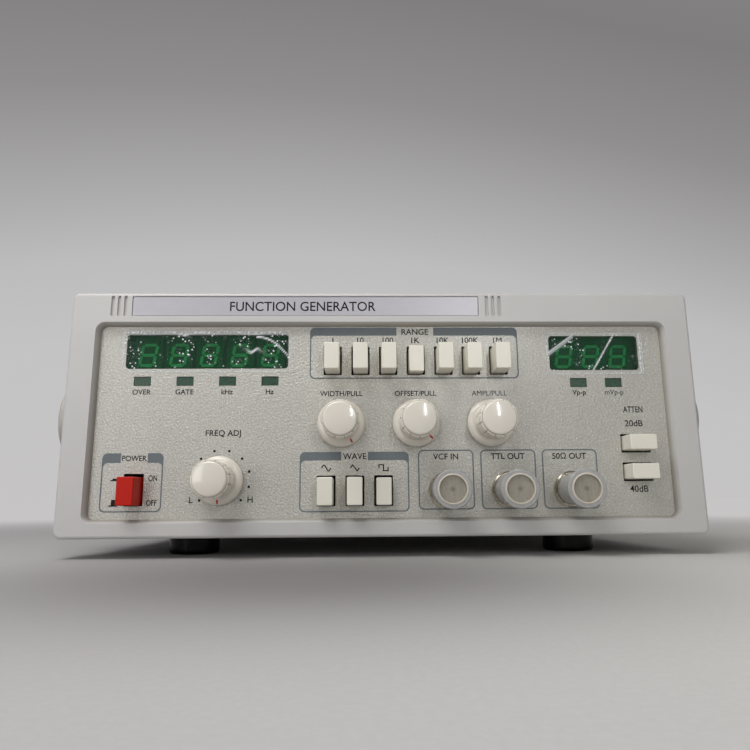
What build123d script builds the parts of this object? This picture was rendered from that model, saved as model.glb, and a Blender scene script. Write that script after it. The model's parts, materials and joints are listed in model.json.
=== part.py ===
from build123d import *
from math import cos, radians, sin
import os

os.makedirs("parts", exist_ok=True)

# Bench function generator. Millimetres, +Z up, front face towards -Y, origin on the table
# under the middle of the whole object. Heights on the front face are taken from the lower
# edge of the bezel, and "out" is a distance in front of the panel's face.

# ---------------------------------------------------------------- driving dimensions
CASE_W = 272.0          # width of the front and rear frames
CASE_H = 105.2          # height of the front and rear frames
CASE_D = 215.0          # front of the bezel to the back of the rear frame
FOOT_DROP = 8.2         # the feet stand this far below the frames
TIP_OUT = 16.4          # the dust caps stand this far out in front of the bezel
FRAME_CORNER_R = 3.0
FRAME_EDGE_R = 1.4
FRAME_WALL = 2.8

BEZEL_D = 18.0          # depth of the front frame
RECESS_DEPTH = 4.0      # the panel lies this far behind the bezel's face
RECESS_W, RECESS_H, RECESS_MID = 250.0, 85.8, 49.1
RECESS_DRAFT = 1.35     # each wall of the recess leans in by this much
RECESS_R = 4.0
PANEL_W, PANEL_H, PANEL_T = 258.0, 93.0, 2.0
SEAT_GAP = 0.3          # panel to the pocket it drops into

BADGE_X, BADGE_MID, BADGE_W, BADGE_H = -33.7, 99.2, 152.4, 9.0
BADGE_SINK = 1.0
GROOVE_W, GROOVE_H, GROOVE_PITCH = 1.5, 9.3, 2.8
GROOVE_MIDS = (-115.5, 48.9)

PITCH = 12.2            # push-buttons side by side
SLOT_W, SLOT_H, SLOT_R = 8.0, 12.8, 0.3
CAP_W, CAP_H, CAP_L = 6.4, 11.4, 14.0
BUTTON_OUT = 11.4       # range and wave buttons, released
BUTTON_TRAVEL = 6.0
ATTEN_OUT = 8.6
POWER_OUT = 10.0
RANGE_X, RANGE_Z = -22.1, 75.25
WAVE_X, WAVE_Z = -24.6, 18.6
WAVE_SLOT_RISE = 0.35   # the slots sit this far above the middle of their buttons
ATTEN_X, ATTEN_Z = 109.3, 26.2
POWER_X, POWER_Z = -105.7, 19.2
POWER_SLOT = (8.5, 13.5)
POWER_SLOT_RISE = 0.6
POWER_CAP = (7.0, 11.6)
PLUNGER = 3.0           # square plunger behind each cap
PLUNGER_END = 26.0      # released plunger, from the panel's face back to its end
CHANNEL = 3.5           # square way for the plunger
BANK_START = 11.0       # switch bank, from the panel's face back to its front
BANK_L = 22.0
BANK_UNIT = (10.4, 14.0)
BRACKET_T, POST_R = 1.2, 2.4

COUNTER_WINDOW = (-77.0, 79.55, 70.8, 15.5)     # x, height, width, tall
LEVEL_WINDOW = (93.8, 78.6, 39.8, 15.6)
WINDOW_GAP, WINDOW_R = 0.2, 1.6
WINDOW_LIP, WINDOW_LIP_T = 2.0, 1.5
COUNTER_DIGITS, COUNTER_DIGIT_PITCH = 5, 13.5
LEVEL_DIGITS, LEVEL_DIGIT_PITCH = 3, 12.2
DIGIT_W, DIGIT_H, DIGIT_T = 12.0, 18.0, 6.0
DIGIT_GAP = 1.8         # panel's back to the faces of the digits
LAMP_W, LAMP_H, LAMP_FIT, LAMP_SINK = 7.4, 4.1, 0.4, 0.3
COUNTER_LAMP_X, COUNTER_LAMP_PITCH, COUNTER_LAMP_Z = -104.7, 18.43, 66.3
LEVEL_LAMP_X, LEVEL_LAMP_PITCH, LEVEL_LAMP_Z = 86.2, 15.5, 65.2
BOARD_T = 1.6
COUNTER_BOARD, LEVEL_BOARD, BOARD_DROP = (80.0, 30.0), (48.0, 30.0), 4.0

FREQ_X, FREQ_Z = -69.7, 23.5
PULL_X, PULL_Z = (-18.3, 14.1, 46.5), 47.5
PULL_NAMES = ("pulse", "offset", "amplitude")
PULL_POINTERS = (150.0, 135.0, 60.0)            # degrees clockwise from the top
FREQ_POINTER = 180.0
KNOB_OUT = 20.0         # top of a knob, in front of the panel
SKIRT_R, SKIRT_OUT = 10.25, 0.8
KNOB_R, KNOB_FOOT_R = 7.9, 7.3
KNOB_LOBES, LOBE_GAP, LOBE_DEPTH = 12, 0.75, 0.7
DISC_R, CROWN_R, RIM_FLAT = 7.1, 6.1, 0.3
CROWN_DROP, DISC_DROP, RIM_DROP = 0.55, 1.4, 1.8       # below the top of the crown
KNOB_BORE, KNOB_BORE_END, KNOB_CAVITY_R, KNOB_CAVITY_END = 3.02, 15.5, 6.4, 4.6
POINTER_L, POINTER_W = 3.4, 0.8
SHAFT_R, SHAFT_TOP = 3.0, 15.2
SHAFT_GAP = 0.05        # running clearance in the bush
BUSH_R, BUSH_OUT = 3.5, 3.2
POT_R, POT_L = 8.5, 11.0
CARRIAGE = (8.0, 6.0, 4.0)
PULL_BOX, PULL_BOX_L, PULL_WAY_L = (13.0, 11.0), 16.0, 14.5
TAIL_R, TAIL_END_R, TAIL_END_T = 1.5, 2.4, 1.0
NUT_FLAT, NUT_T = 5.0, 2.0

JACK_X, JACK_Z = (26.5, 53.3, 79.9), 19.0
JACK_NAMES = ("control_in", "logic_out", "signal_out")
JACK_R, JACK_OUT, JACK_BORE_R = 4.8, 12.0, 4.1
JACK_BASE, JACK_PIN_R, JACK_PIN_L = 2.6, 0.7, 6.4
JACK_BACK_R, JACK_BACK_T, JACK_TAIL_R, JACK_TAIL_L = 7.0, 2.4, 4.4, 7.0
COLLAR_R, COLLAR_T = 7.6, 2.6
LUG_R, LUG_REACH, LUG_OUT = 1.0, 5.6, 9.0
DUST_IN_R, DUST_OUT_R, DUST_FLANGE_R = 5.8, 6.7, 7.8
DUST_START, DUST_FRONT = 3.4, TIP_OUT + RECESS_DEPTH
DUST_FLANGE_T, DUST_END_T = 2.2, 2.6
BEAD_R, BEAD_W, BEAD_H, DUST_DISH = 6.0, 0.6, 0.35, 0.9

COVER_INSET = 3.0       # the covers lie this far inside the frames
COVER_T = 1.2
COVER_BEND_R = 3.0
COVER_LAP = 6.0         # the covers go this far into the frames
CHASSIS_T = 1.4
CHASSIS_FLANGE = 14.0
VENT_W, VENT_L, VENT_PITCH, VENT_COUNT = 2.6, 34.0, 7.0, 14
REAR_D = 16.0
REAR_LIP = 3.6          # the rear panel lies this far inside the rear frame
REAR_PANEL_T = 1.5

FOOT_R, FOOT_X = 11.2, 86.0
FOOT_FROM_FRONT, FOOT_FROM_REAR = 33.0, 32.0
FOOT_EDGE_R, FOOT_BORE_R, FOOT_BORE_L = 1.6, 4.5, 5.0
SCREW_R, SCREW_HOLE_R, HEAD_R, HEAD_T = 1.6, 1.75, 3.0, 1.4
CROSS_L, CROSS_W, CROSS_DEEP = 3.2, 0.7, 0.9
COVER_SCREW_UP, SIDE_SCREW_L, FOOT_SCREW_UP = 9.0, 6.0, 3.0
REAR_SCREW_X, REAR_SCREW_IN = 122.0, 12.0
REAR_BLOCK_W, REAR_BLOCK_H, REAR_BLOCK_T, REAR_BLOCK_MID = 18.0, 16.0, 4.4, 10.0

PIVOT_FROM_FRONT = 38.0
PIVOT_BOSS_R, PIVOT_PIN_R = 15.0, 5.0
HUB_R, HUB_IN, HUB_OUT, HUB_EDGE_R = 18.0, 140.2, 147.4, 1.2
HANDLE_ANGLE = 22.5     # rises this much towards the back at rest
HANDLE_REACH = 160.0
ARM_T, ARM_W, BAR_T, ARM_EDGE_R = 6.0, 15.0, 11.0, 2.0
PIN_L, HUB_GAP = 4.6, 0.5
ARM_OUT = HUB_OUT - 0.8
HANDLE_BEND_R = 20.0
GRIP_L, GRIP_T, GRIP_W, GRIP_R, GRIP_FIT = 128.0, 17.0, 19.0, 6.5, 0.1

INLET_X, INLET_Z = 92.0, 46.0
INLET_W, INLET_H = 31.0, 37.0
SOCKET_W, SOCKET_H, SOCKET_L = 24.0, 16.2, 16.0
SOCKET_UP = 7.4
DRAWER_W, DRAWER_H, DRAWER_L = 23.0, 8.0, 20.0
DRAWER_DOWN = 9.6
INLET_EDGE, INLET_RIM, INLET_L = 2.2, 1.9, 24.0
SOCKET_CUT, BLADE_X, BLADE_W, BLADE_H, BLADE_SHORT = 4.0, 7.0, 2.0, 4.0, 2.5
DRAWER_FIT, PULL_LIP, PULL_SLOT_H, PULL_SLOT_DEEP = 0.3, 3.0, 1.6, 1.0

STANDOFF_H, STANDOFF_R, STANDOFF_BORE_R, STANDOFF_IN = 8.0, 3.0, 1.3, 6.0
BOARD_X, BOARD_MID_Y, BOARD_W, BOARD_L = 40.0, 18.0, 160.0, 130.0
CORE_X, CORE_Y, CORE_W, CORE_H, CORE_T = -88.0, 44.0, 57.0, 47.5, 28.0
LEG = 9.5               # outer leg of the core; the middle leg is twice as wide
CHIP_W, CHIP_L, CHIP_H, CHIP_COLUMNS, CHIP_ROWS = 20.0, 7.6, 4.2, 3, 4
CHIP_PITCH_X, CHIP_PITCH_Y, CHIP_SHIFT = 32.0, 20.0, 14.0
CAN_R, CAN_H, CAN_PITCH, CAN_SHIFT = 8.0, 26.0, 24.0, -60.0
SINK_W, SINK_L, SINK_H, SINK_PLACE = 14.0, 34.0, 28.0, (-36.0, 40.0)
FIN_GAP, FIN_GAP_W, FIN_PITCH = 4.0, 10.0, 6.4

# ---------------------------------------------------------------- places worked out
FRONT_Y = TIP_OUT - (CASE_D + TIP_OUT) / 2
REAR_Y = FRONT_Y + CASE_D
PANEL_Y = FRONT_Y + RECESS_DEPTH
PANEL_BACK = PANEL_Y + PANEL_T
COVER_W = CASE_W - 2 * COVER_INSET
COVER_TOP = FOOT_DROP + CASE_H - COVER_INSET
COVER_LOW = FOOT_DROP + COVER_INSET
COVER_START = FRONT_Y + BEZEL_D - COVER_LAP
COVER_END = REAR_Y - REAR_D + COVER_LAP
REAR_PANEL_Y = REAR_Y - REAR_LIP
PIVOT_Y = FRONT_Y + PIVOT_FROM_FRONT
PIVOT_Z = FOOT_DROP + CASE_H / 2
LATCHED_RANGE = 3       # the fourth range button and the third wave button are pressed in
LATCHED_WAVE = 2
FOOT_PLACES = [
    (x, y)
    for x in (-FOOT_X, FOOT_X)
    for y in (FRONT_Y + FOOT_FROM_FRONT, REAR_Y - FOOT_FROM_REAR)
]


def facing_front(y):
    """Plane at depth y: x to the right, y up from the frames' lower edge, normal to -Y."""
    return Plane(origin=(0, y, FOOT_DROP), x_dir=(1, 0, 0), z_dir=(0, -1, 0))


def save(builder, name):
    builder.part.label = name
    export_step(builder.part, f"parts/{name}.step")


# ---------------------------------------------------------------- frames and panel
def outline(y, width, height, middle, radius):
    """A rounded rectangle facing the front, its middle at the given height."""
    with BuildSketch(facing_front(y)) as rectangle:
        with Locations((0, middle)):
            RectangleRounded(width, height, radius)
    return rectangle.sketch


FRAME_OUTLINE = (CASE_W, CASE_H, CASE_H / 2, FRAME_CORNER_R)
FRAME_INSIDE = (CASE_W - 2 * FRAME_WALL, CASE_H - 2 * FRAME_WALL, CASE_H / 2, 1.5)
PANEL_SEAT = (PANEL_W + 2 * SEAT_GAP, PANEL_H + 2 * SEAT_GAP, RECESS_MID, 1.5)
RECESS_RIM = (RECESS_W, RECESS_H, RECESS_MID, RECESS_R)
RECESS_FLOOR = (
    RECESS_W - 2 * RECESS_DRAFT,
    RECESS_H - 2 * RECESS_DRAFT,
    RECESS_MID,
    RECESS_R - RECESS_DRAFT,
)

with BuildPart() as front_bezel:
    extrude(outline(FRONT_Y, *FRAME_OUTLINE), amount=-BEZEL_D)
    fillet(front_bezel.faces().sort_by(Axis.Y)[0].edges(), FRAME_EDGE_R)
    loft([outline(FRONT_Y, *RECESS_RIM), outline(PANEL_Y, *RECESS_FLOOR)], mode=Mode.SUBTRACT)
    extrude(outline(PANEL_Y, *PANEL_SEAT), amount=-PANEL_T, mode=Mode.SUBTRACT)
    extrude(outline(PANEL_BACK, *FRAME_INSIDE), amount=-BEZEL_D, mode=Mode.SUBTRACT)
    with BuildSketch(facing_front(FRONT_Y)):
        with Locations((BADGE_X, BADGE_MID)):
            RectangleRounded(BADGE_W, BADGE_H, 0.6)
        for middle in GROOVE_MIDS:
            with Locations((middle, BADGE_MID)):
                with GridLocations(GROOVE_PITCH, 0, 3, 1):
                    SlotOverall(GROOVE_H, GROOVE_W, rotation=90)
    extrude(amount=-BADGE_SINK, mode=Mode.SUBTRACT)
save(front_bezel, "front_bezel")

with BuildPart() as nameplate:
    with BuildSketch(facing_front(FRONT_Y + BADGE_SINK)):
        with Locations((BADGE_X, BADGE_MID)):
            RectangleRounded(BADGE_W - 0.6, BADGE_H - 0.5, 0.5)
    extrude(amount=0.7)
save(nameplate, "nameplate")

BUTTON_SLOTS = (
    [(RANGE_X + PITCH * i, RANGE_Z, SLOT_W, SLOT_H) for i in range(7)]
    + [(WAVE_X + PITCH * i, WAVE_Z + WAVE_SLOT_RISE, SLOT_W, SLOT_H) for i in range(3)]
    + [(ATTEN_X, ATTEN_Z + PITCH * i, SLOT_H, SLOT_W) for i in range(2)]
    + [(POWER_X, POWER_Z + POWER_SLOT_RISE, *POWER_SLOT)]
)
LAMP_PLACES = [
    (COUNTER_LAMP_X + COUNTER_LAMP_PITCH * i, COUNTER_LAMP_Z) for i in range(4)
] + [(LEVEL_LAMP_X + LEVEL_LAMP_PITCH * i, LEVEL_LAMP_Z) for i in range(2)]
POT_PLACES = [(FREQ_X, FREQ_Z)] + [(x, PULL_Z) for x in PULL_X]
JACK_PLACES = [(x, JACK_Z) for x in JACK_X]

with BuildPart() as front_panel:
    extrude(outline(PANEL_Y, PANEL_W, PANEL_H, RECESS_MID, 1.2), amount=-PANEL_T)
    with BuildSketch(facing_front(PANEL_Y)):
        for x, z, width, tall in BUTTON_SLOTS:
            with Locations((x, z)):
                RectangleRounded(width, tall, SLOT_R)
        for x, z, width, tall in (COUNTER_WINDOW, LEVEL_WINDOW):
            with Locations((x, z)):
                RectangleRounded(width, tall, WINDOW_R)
        with Locations(*LAMP_PLACES):
            Rectangle(LAMP_W, LAMP_H)
        with Locations(*POT_PLACES):
            Circle(BUSH_R + 0.2)
        with Locations(*JACK_PLACES):
            Circle(JACK_R + 0.2)
    extrude(amount=-PANEL_T, mode=Mode.SUBTRACT)
save(front_panel, "front_panel")


# ---------------------------------------------------------------- displays
def window(name, place):
    """Tinted window: fills its opening from behind, held by a lip."""
    x, z, width, tall = place
    with BuildPart() as pane:
        with BuildSketch(facing_front(PANEL_Y + WINDOW_GAP)):
            with Locations((x, z)):
                RectangleRounded(width - 2 * WINDOW_GAP, tall - 2 * WINDOW_GAP, WINDOW_R - WINDOW_GAP)
        extrude(amount=-PANEL_T)
        with BuildSketch(facing_front(PANEL_BACK)):
            with Locations((x, z)):
                Rectangle(width + 2 * WINDOW_LIP, tall + 2 * WINDOW_LIP)
        extrude(amount=-WINDOW_LIP_T)
    save(pane, name)


def digits(name, place, count, pitch):
    """Row of seven-segment modules behind a window."""
    x, z, width, tall = place
    with BuildPart() as row:
        with BuildSketch(facing_front(PANEL_BACK + DIGIT_GAP)):
            with Locations((x, z)):
                with GridLocations(pitch, 0, count, 1):
                    Rectangle(DIGIT_W, DIGIT_H)
        extrude(amount=-DIGIT_T)
    save(row, name)


window("counter_window", COUNTER_WINDOW)
window("level_window", LEVEL_WINDOW)
digits("counter_digits", COUNTER_WINDOW, COUNTER_DIGITS, COUNTER_DIGIT_PITCH)
digits("level_digits", LEVEL_WINDOW, LEVEL_DIGITS, LEVEL_DIGIT_PITCH)

BOARD_Y = PANEL_BACK + DIGIT_GAP + DIGIT_T
with BuildPart() as unit_lamps:
    with BuildSketch(facing_front(PANEL_Y + LAMP_SINK)):
        with Locations(*LAMP_PLACES):
            Rectangle(LAMP_W - LAMP_FIT, LAMP_H - LAMP_FIT)
    extrude(amount=-(BOARD_Y - PANEL_Y - LAMP_SINK))
save(unit_lamps, "unit_lamps")

with BuildPart() as display_boards:
    with BuildSketch(facing_front(BOARD_Y)):
        with Locations((COUNTER_WINDOW[0], COUNTER_WINDOW[1] - BOARD_DROP)):
            Rectangle(*COUNTER_BOARD)
        with Locations((LEVEL_WINDOW[0], LEVEL_WINDOW[1] - BOARD_DROP)):
            Rectangle(*LEVEL_BOARD)
    extrude(amount=-BOARD_T)
save(display_boards, "display_boards")


# ---------------------------------------------------------------- push-buttons
def push_button(name, x, z, out, released_out, cap=(CAP_W, CAP_H)):
    """Cap with its plunger. out is how far the cap stands from the panel at rest."""
    cap_front = PANEL_Y - out
    pressed = released_out - out
    with BuildPart() as button:
        with BuildSketch(facing_front(cap_front)):
            with Locations((x, z)):
                RectangleRounded(*cap, 0.6)
        extrude(amount=-CAP_L)
        fillet(button.faces().sort_by(Axis.Y)[0].edges(), 0.45)
        with BuildSketch(facing_front(cap_front + CAP_L)):
            with Locations((x, z)):
                Rectangle(PLUNGER, PLUNGER)
        extrude(amount=-(PANEL_Y + PLUNGER_END + pressed - cap_front - CAP_L))
    save(button, name)


def switch_bank(name, places, upright=True):
    """Latching switches side by side on one bracket that stands off the panel."""
    width, tall = BANK_UNIT if upright else BANK_UNIT[::-1]
    xs = [x for x, z in places]
    zs = [z for x, z in places]
    mid = ((xs[0] + xs[-1]) / 2, (zs[0] + zs[-1]) / 2)
    span = (xs[-1] - xs[0], zs[-1] - zs[0])
    ears = (span[0] + 22, span[1] + 14) if upright else (span[0] + 14, span[1] + 22)
    spread = (ears[0] - 5.5, 0) if upright else (0, ears[1] - 5.5)
    bracket_y = PANEL_Y + BANK_START
    with BuildPart() as bank:
        with BuildSketch(facing_front(bracket_y)):
            with Locations(mid):
                Rectangle(*ears)
        extrude(amount=-BRACKET_T)
        with BuildSketch(facing_front(bracket_y)):
            with Locations(*places):
                Rectangle(width, tall)
        extrude(amount=-BANK_L)
        with BuildSketch(facing_front(PANEL_BACK)):
            with Locations(
                (mid[0] - spread[0] / 2, mid[1] - spread[1] / 2),
                (mid[0] + spread[0] / 2, mid[1] + spread[1] / 2),
            ):
                Circle(POST_R)
        extrude(amount=-(bracket_y - PANEL_BACK))
        with BuildSketch(facing_front(bracket_y)):
            with Locations(*places):
                Rectangle(CHANNEL, CHANNEL)
        extrude(amount=-BANK_L, mode=Mode.SUBTRACT)
    save(bank, name)


RANGE_LABELS = ("1", "10", "100", "1k", "10k", "100k", "1m")
for i, label in enumerate(RANGE_LABELS):
    pressed = BUTTON_TRAVEL if i == LATCHED_RANGE else 0
    push_button(
        f"range_button_{label}", RANGE_X + PITCH * i, RANGE_Z, BUTTON_OUT - pressed, BUTTON_OUT
    )
for i, label in enumerate(("sine", "triangle", "square")):
    pressed = BUTTON_TRAVEL if i == LATCHED_WAVE else 0
    push_button(
        f"wave_button_{label}", WAVE_X + PITCH * i, WAVE_Z, BUTTON_OUT - pressed, BUTTON_OUT
    )
for i, label in enumerate(("40db", "20db")):
    push_button(
        f"attenuator_button_{label}",
        ATTEN_X,
        ATTEN_Z + PITCH * i,
        ATTEN_OUT,
        ATTEN_OUT,
        cap=(CAP_H, CAP_W),
    )
push_button("power_button", POWER_X, POWER_Z, POWER_OUT, POWER_OUT, cap=POWER_CAP)

switch_bank("range_switch_bank", [(RANGE_X + PITCH * i, RANGE_Z) for i in range(7)])
switch_bank("wave_switch_bank", [(WAVE_X + PITCH * i, WAVE_Z) for i in range(3)])
switch_bank(
    "attenuator_switch_bank",
    [(ATTEN_X, ATTEN_Z + PITCH * i) for i in range(2)],
    upright=False,
)
switch_bank("power_switch", [(POWER_X, POWER_Z)])


# ---------------------------------------------------------------- knobs, shafts and pots
def knob_plane(x, z, out):
    """Plane square to a knob's axis, at the given distance in front of the panel."""
    return Plane(
        origin=(x, PANEL_Y - out, FOOT_DROP + z), x_dir=(1, 0, 0), z_dir=(0, -1, 0)
    )


def knob(name, x, z, pointer):
    """Skirted, lobed knob with a crowned disc. pointer is clockwise from the top."""
    disc_out = KNOB_OUT - DISC_DROP
    rim_out = KNOB_OUT - RIM_DROP
    foot_out = SKIRT_OUT + 3.2
    section = Plane(
        origin=(x, PANEL_Y, FOOT_DROP + z), x_dir=(1, 0, 0), z_dir=(0, 0, 1)
    )
    with BuildPart() as body:
        with BuildSketch(section):
            with BuildLine():
                Polyline(
                    (KNOB_BORE, -KNOB_BORE_END),
                    (0, -KNOB_BORE_END),
                    (0, -KNOB_OUT),
                )
                ThreePointArc(
                    (0, -KNOB_OUT),
                    (CROWN_R / 2, -KNOB_OUT + CROWN_DROP / 4),
                    (CROWN_R, -KNOB_OUT + CROWN_DROP),
                )
                ThreePointArc(
                    (CROWN_R, -KNOB_OUT + CROWN_DROP),
                    (DISC_R - 0.28, -disc_out - 0.52),
                    (DISC_R, -disc_out),
                )
                Polyline(
                    (DISC_R, -disc_out),
                    (DISC_R, -rim_out + 0.3),
                    (DISC_R + 0.1, -rim_out),
                    (KNOB_R - RIM_FLAT, -rim_out),
                    (KNOB_R, -rim_out + 0.5),
                    (KNOB_FOOT_R, -foot_out),
                )
                ThreePointArc(
                    (KNOB_FOOT_R, -foot_out),
                    (KNOB_FOOT_R + 0.35, -foot_out + 0.6),
                    (KNOB_FOOT_R + 1.0, -foot_out + 0.9),
                )
                ThreePointArc(
                    (KNOB_FOOT_R + 1.0, -foot_out + 0.9),
                    (SKIRT_R - 0.7, -SKIRT_OUT - 1.75),
                    (SKIRT_R, -SKIRT_OUT - 0.9),
                )
                Polyline(
                    (SKIRT_R, -SKIRT_OUT - 0.9),
                    (SKIRT_R, -SKIRT_OUT),
                    (KNOB_CAVITY_R, -SKIRT_OUT),
                    (KNOB_CAVITY_R, -KNOB_CAVITY_END),
                    (KNOB_BORE, -KNOB_CAVITY_END),
                    (KNOB_BORE, -KNOB_BORE_END),
                )
            make_face()
        revolve(axis=Axis((x, PANEL_Y, FOOT_DROP + z), (0, 1, 0)))
        with BuildSketch(knob_plane(x, z, foot_out + 0.1)):
            with PolarLocations(KNOB_R, KNOB_LOBES, start_angle=90 - pointer + 15):
                Polygon(
                    (-LOBE_DEPTH, -0.08),
                    (0.5, -LOBE_GAP / 2 - 0.2),
                    (0.5, LOBE_GAP / 2 + 0.2),
                    (-LOBE_DEPTH, 0.08),
                    align=None,
                )
        extrude(amount=KNOB_OUT, mode=Mode.SUBTRACT)
        with BuildSketch(knob_plane(x, z, SKIRT_OUT + 1.6)):
            with PolarLocations(KNOB_FOOT_R + 2.35, 1, start_angle=90 - pointer):
                Rectangle(POINTER_L, POINTER_W)
        extrude(amount=2.0, mode=Mode.SUBTRACT)
    save(body, name)


def shaft(name, x, z, end, tail=0.0):
    """Control shaft; a tail carries the sliding carriage of a pull switch."""
    with BuildPart() as rod:
        with BuildSketch(knob_plane(x, z, SHAFT_TOP)):
            Circle(SHAFT_R)
        extrude(amount=-(SHAFT_TOP + end))
        if tail:
            with BuildSketch(knob_plane(x, z, -end)):
                Circle(TAIL_R)
            extrude(amount=-tail)
            with BuildSketch(knob_plane(x, z, -end - tail)):
                Circle(TAIL_END_R)
            extrude(amount=-TAIL_END_T)
    save(rod, name)


BUSH_START = PANEL_T + 2.0      # the can of a pot starts this far behind the panel's face
POT_END = BUSH_START + POT_L


def pot(x, z, switch):
    """Potentiometer can with its bush, and behind it the housing of the pull switch."""
    shaft_way = BUSH_OUT + POT_END - (0 if switch else 1.5)
    with BuildPart() as body:
        with BuildSketch(knob_plane(x, z, BUSH_OUT)):
            Circle(BUSH_R)
        extrude(amount=-(BUSH_OUT + BUSH_START))
        with BuildSketch(knob_plane(x, z, -BUSH_START)):
            Circle(POT_R)
        extrude(amount=-POT_L)
        if switch:
            with BuildSketch(knob_plane(x, z, -POT_END)):
                Rectangle(*PULL_BOX)
            extrude(amount=-PULL_BOX_L)
            with BuildSketch(knob_plane(x, z, -POT_END)):
                Rectangle(CARRIAGE[0] + 0.8, CARRIAGE[1] + 0.8)
            extrude(amount=-PULL_WAY_L, mode=Mode.SUBTRACT)
        with BuildSketch(knob_plane(x, z, BUSH_OUT)):
            Circle(SHAFT_R + SHAFT_GAP)
        extrude(amount=-shaft_way, mode=Mode.SUBTRACT)
    return body


SHAFT_END = POT_END + 1.0

knob("frequency_knob", FREQ_X, FREQ_Z, FREQ_POINTER)
shaft("frequency_shaft", FREQ_X, FREQ_Z, POT_END - 2.0)
save(pot(FREQ_X, FREQ_Z, switch=False), "frequency_pot")

pots = [pot(x, PULL_Z, switch=True).part for x in PULL_X]
with BuildPart() as pull_pots:
    add(pots)
save(pull_pots, "pull_pots")

for label, x, pointer in zip(PULL_NAMES, PULL_X, PULL_POINTERS):
    knob(f"{label}_knob", x, PULL_Z, pointer)
    shaft(f"{label}_shaft", x, PULL_Z, SHAFT_END + 4.0, tail=CARRIAGE[2] + 0.6)
    with BuildPart() as carriage:
        with BuildSketch(knob_plane(x, PULL_Z, -SHAFT_END - 4.3)):
            Rectangle(CARRIAGE[0], CARRIAGE[1])
            Circle(TAIL_R + 0.05, mode=Mode.SUBTRACT)
        extrude(amount=-CARRIAGE[2])
    save(carriage, f"{label}_pull_carriage")


# ---------------------------------------------------------------- connectors on the front
with BuildPart() as bnc_jacks:
    for x, z in JACK_PLACES:
        with BuildSketch(knob_plane(x, z, JACK_OUT)):
            Circle(JACK_R)
            Circle(JACK_BORE_R, mode=Mode.SUBTRACT)
        extrude(amount=-(JACK_OUT + PANEL_T))
        with BuildSketch(knob_plane(x, z, JACK_BASE)):
            Circle(JACK_R)
        extrude(amount=-(JACK_BASE + PANEL_T))
        with BuildSketch(knob_plane(x, z, -PANEL_T)):
            Circle(JACK_BACK_R)
        extrude(amount=-JACK_BACK_T)
        with BuildSketch(knob_plane(x, z, -PANEL_T - JACK_BACK_T)):
            Circle(JACK_TAIL_R)
        extrude(amount=-JACK_TAIL_L)
        with BuildSketch(knob_plane(x, z, JACK_BASE)):
            Circle(JACK_PIN_R)
        extrude(amount=JACK_PIN_L)
        with BuildSketch(Plane(origin=(x, PANEL_Y - LUG_OUT, FOOT_DROP + z), z_dir=(0, 0, 1))):
            Circle(LUG_R)
        extrude(amount=LUG_REACH, both=True)
        with BuildSketch(knob_plane(x, z, JACK_OUT)):
            Circle(JACK_BORE_R)
            Circle(JACK_PIN_R, mode=Mode.SUBTRACT)
        extrude(amount=-(JACK_OUT - JACK_BASE), mode=Mode.SUBTRACT)
save(bnc_jacks, "bnc_jacks")

# Hexagon nuts under the knobs, round collars round the jacks.
with BuildPart() as panel_nuts:
    with BuildSketch(facing_front(PANEL_Y)):
        with Locations(*JACK_PLACES):
            Circle(COLLAR_R)
            Circle(JACK_R + 0.02, mode=Mode.SUBTRACT)
    extrude(amount=COLLAR_T)
    chamfer(
        panel_nuts.edges()
        .filter_by(GeomType.CIRCLE)
        .filter_by(lambda edge: abs(edge.radius - COLLAR_R) < 0.01)
        .group_by(Axis.Y)[0],
        0.5,
    )
    with BuildSketch(facing_front(PANEL_Y)):
        with Locations(*POT_PLACES):
            RegularPolygon(NUT_FLAT, 6, major_radius=False)
            Circle(BUSH_R + 0.02, mode=Mode.SUBTRACT)
    extrude(amount=NUT_T)
save(panel_nuts, "panel_nuts")

DUST_FACE = DUST_FRONT - BEAD_H
for label, x in zip(JACK_NAMES, JACK_X):
    with BuildPart() as dust_cap:
        with BuildSketch(knob_plane(x, JACK_Z, DUST_START)):
            Circle(DUST_OUT_R)
        extrude(amount=DUST_FACE - DUST_START)
        with BuildSketch(knob_plane(x, JACK_Z, DUST_FACE - DUST_FLANGE_T)):
            Circle(DUST_FLANGE_R)
        extrude(amount=DUST_FLANGE_T)
        fillet(
            dust_cap.edges()
            .filter_by(GeomType.CIRCLE)
            .filter_by(lambda edge: abs(edge.radius - DUST_FLANGE_R) < 0.01),
            0.5,
        )
        with BuildSketch(knob_plane(x, JACK_Z, DUST_FACE - 0.5)):
            Circle(BEAD_R)
        extrude(amount=BEAD_H + 0.5)
        with BuildSketch(knob_plane(x, JACK_Z, DUST_FRONT)):
            Circle(BEAD_R - BEAD_W)
        extrude(amount=-(BEAD_H + DUST_DISH), mode=Mode.SUBTRACT)
        fillet(dust_cap.edges().group_by(Axis.Y)[0], 0.2)
        with BuildSketch(knob_plane(x, JACK_Z, DUST_START)):
            Circle(DUST_IN_R)
        extrude(amount=DUST_FRONT - DUST_START - DUST_END_T, mode=Mode.SUBTRACT)
    save(dust_cap, f"{label}_dust_cap")

# ---------------------------------------------------------------- covers and chassis
COVER_L = COVER_END - COVER_START
VENT_MID_Y = COVER_START + 0.62 * COVER_L
COVER_SCREWS = [
    (COVER_START + COVER_L * share, COVER_LOW + COVER_SCREW_UP) for share in (0.3, 0.6, 0.9)
]


def screw_holes():
    """Cuts the holes for the side screws right across the part being built."""
    with BuildSketch(Plane.YZ) as holes:
        with Locations(*COVER_SCREWS):
            Circle(SCREW_HOLE_R)
    return holes.sketch


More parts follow.
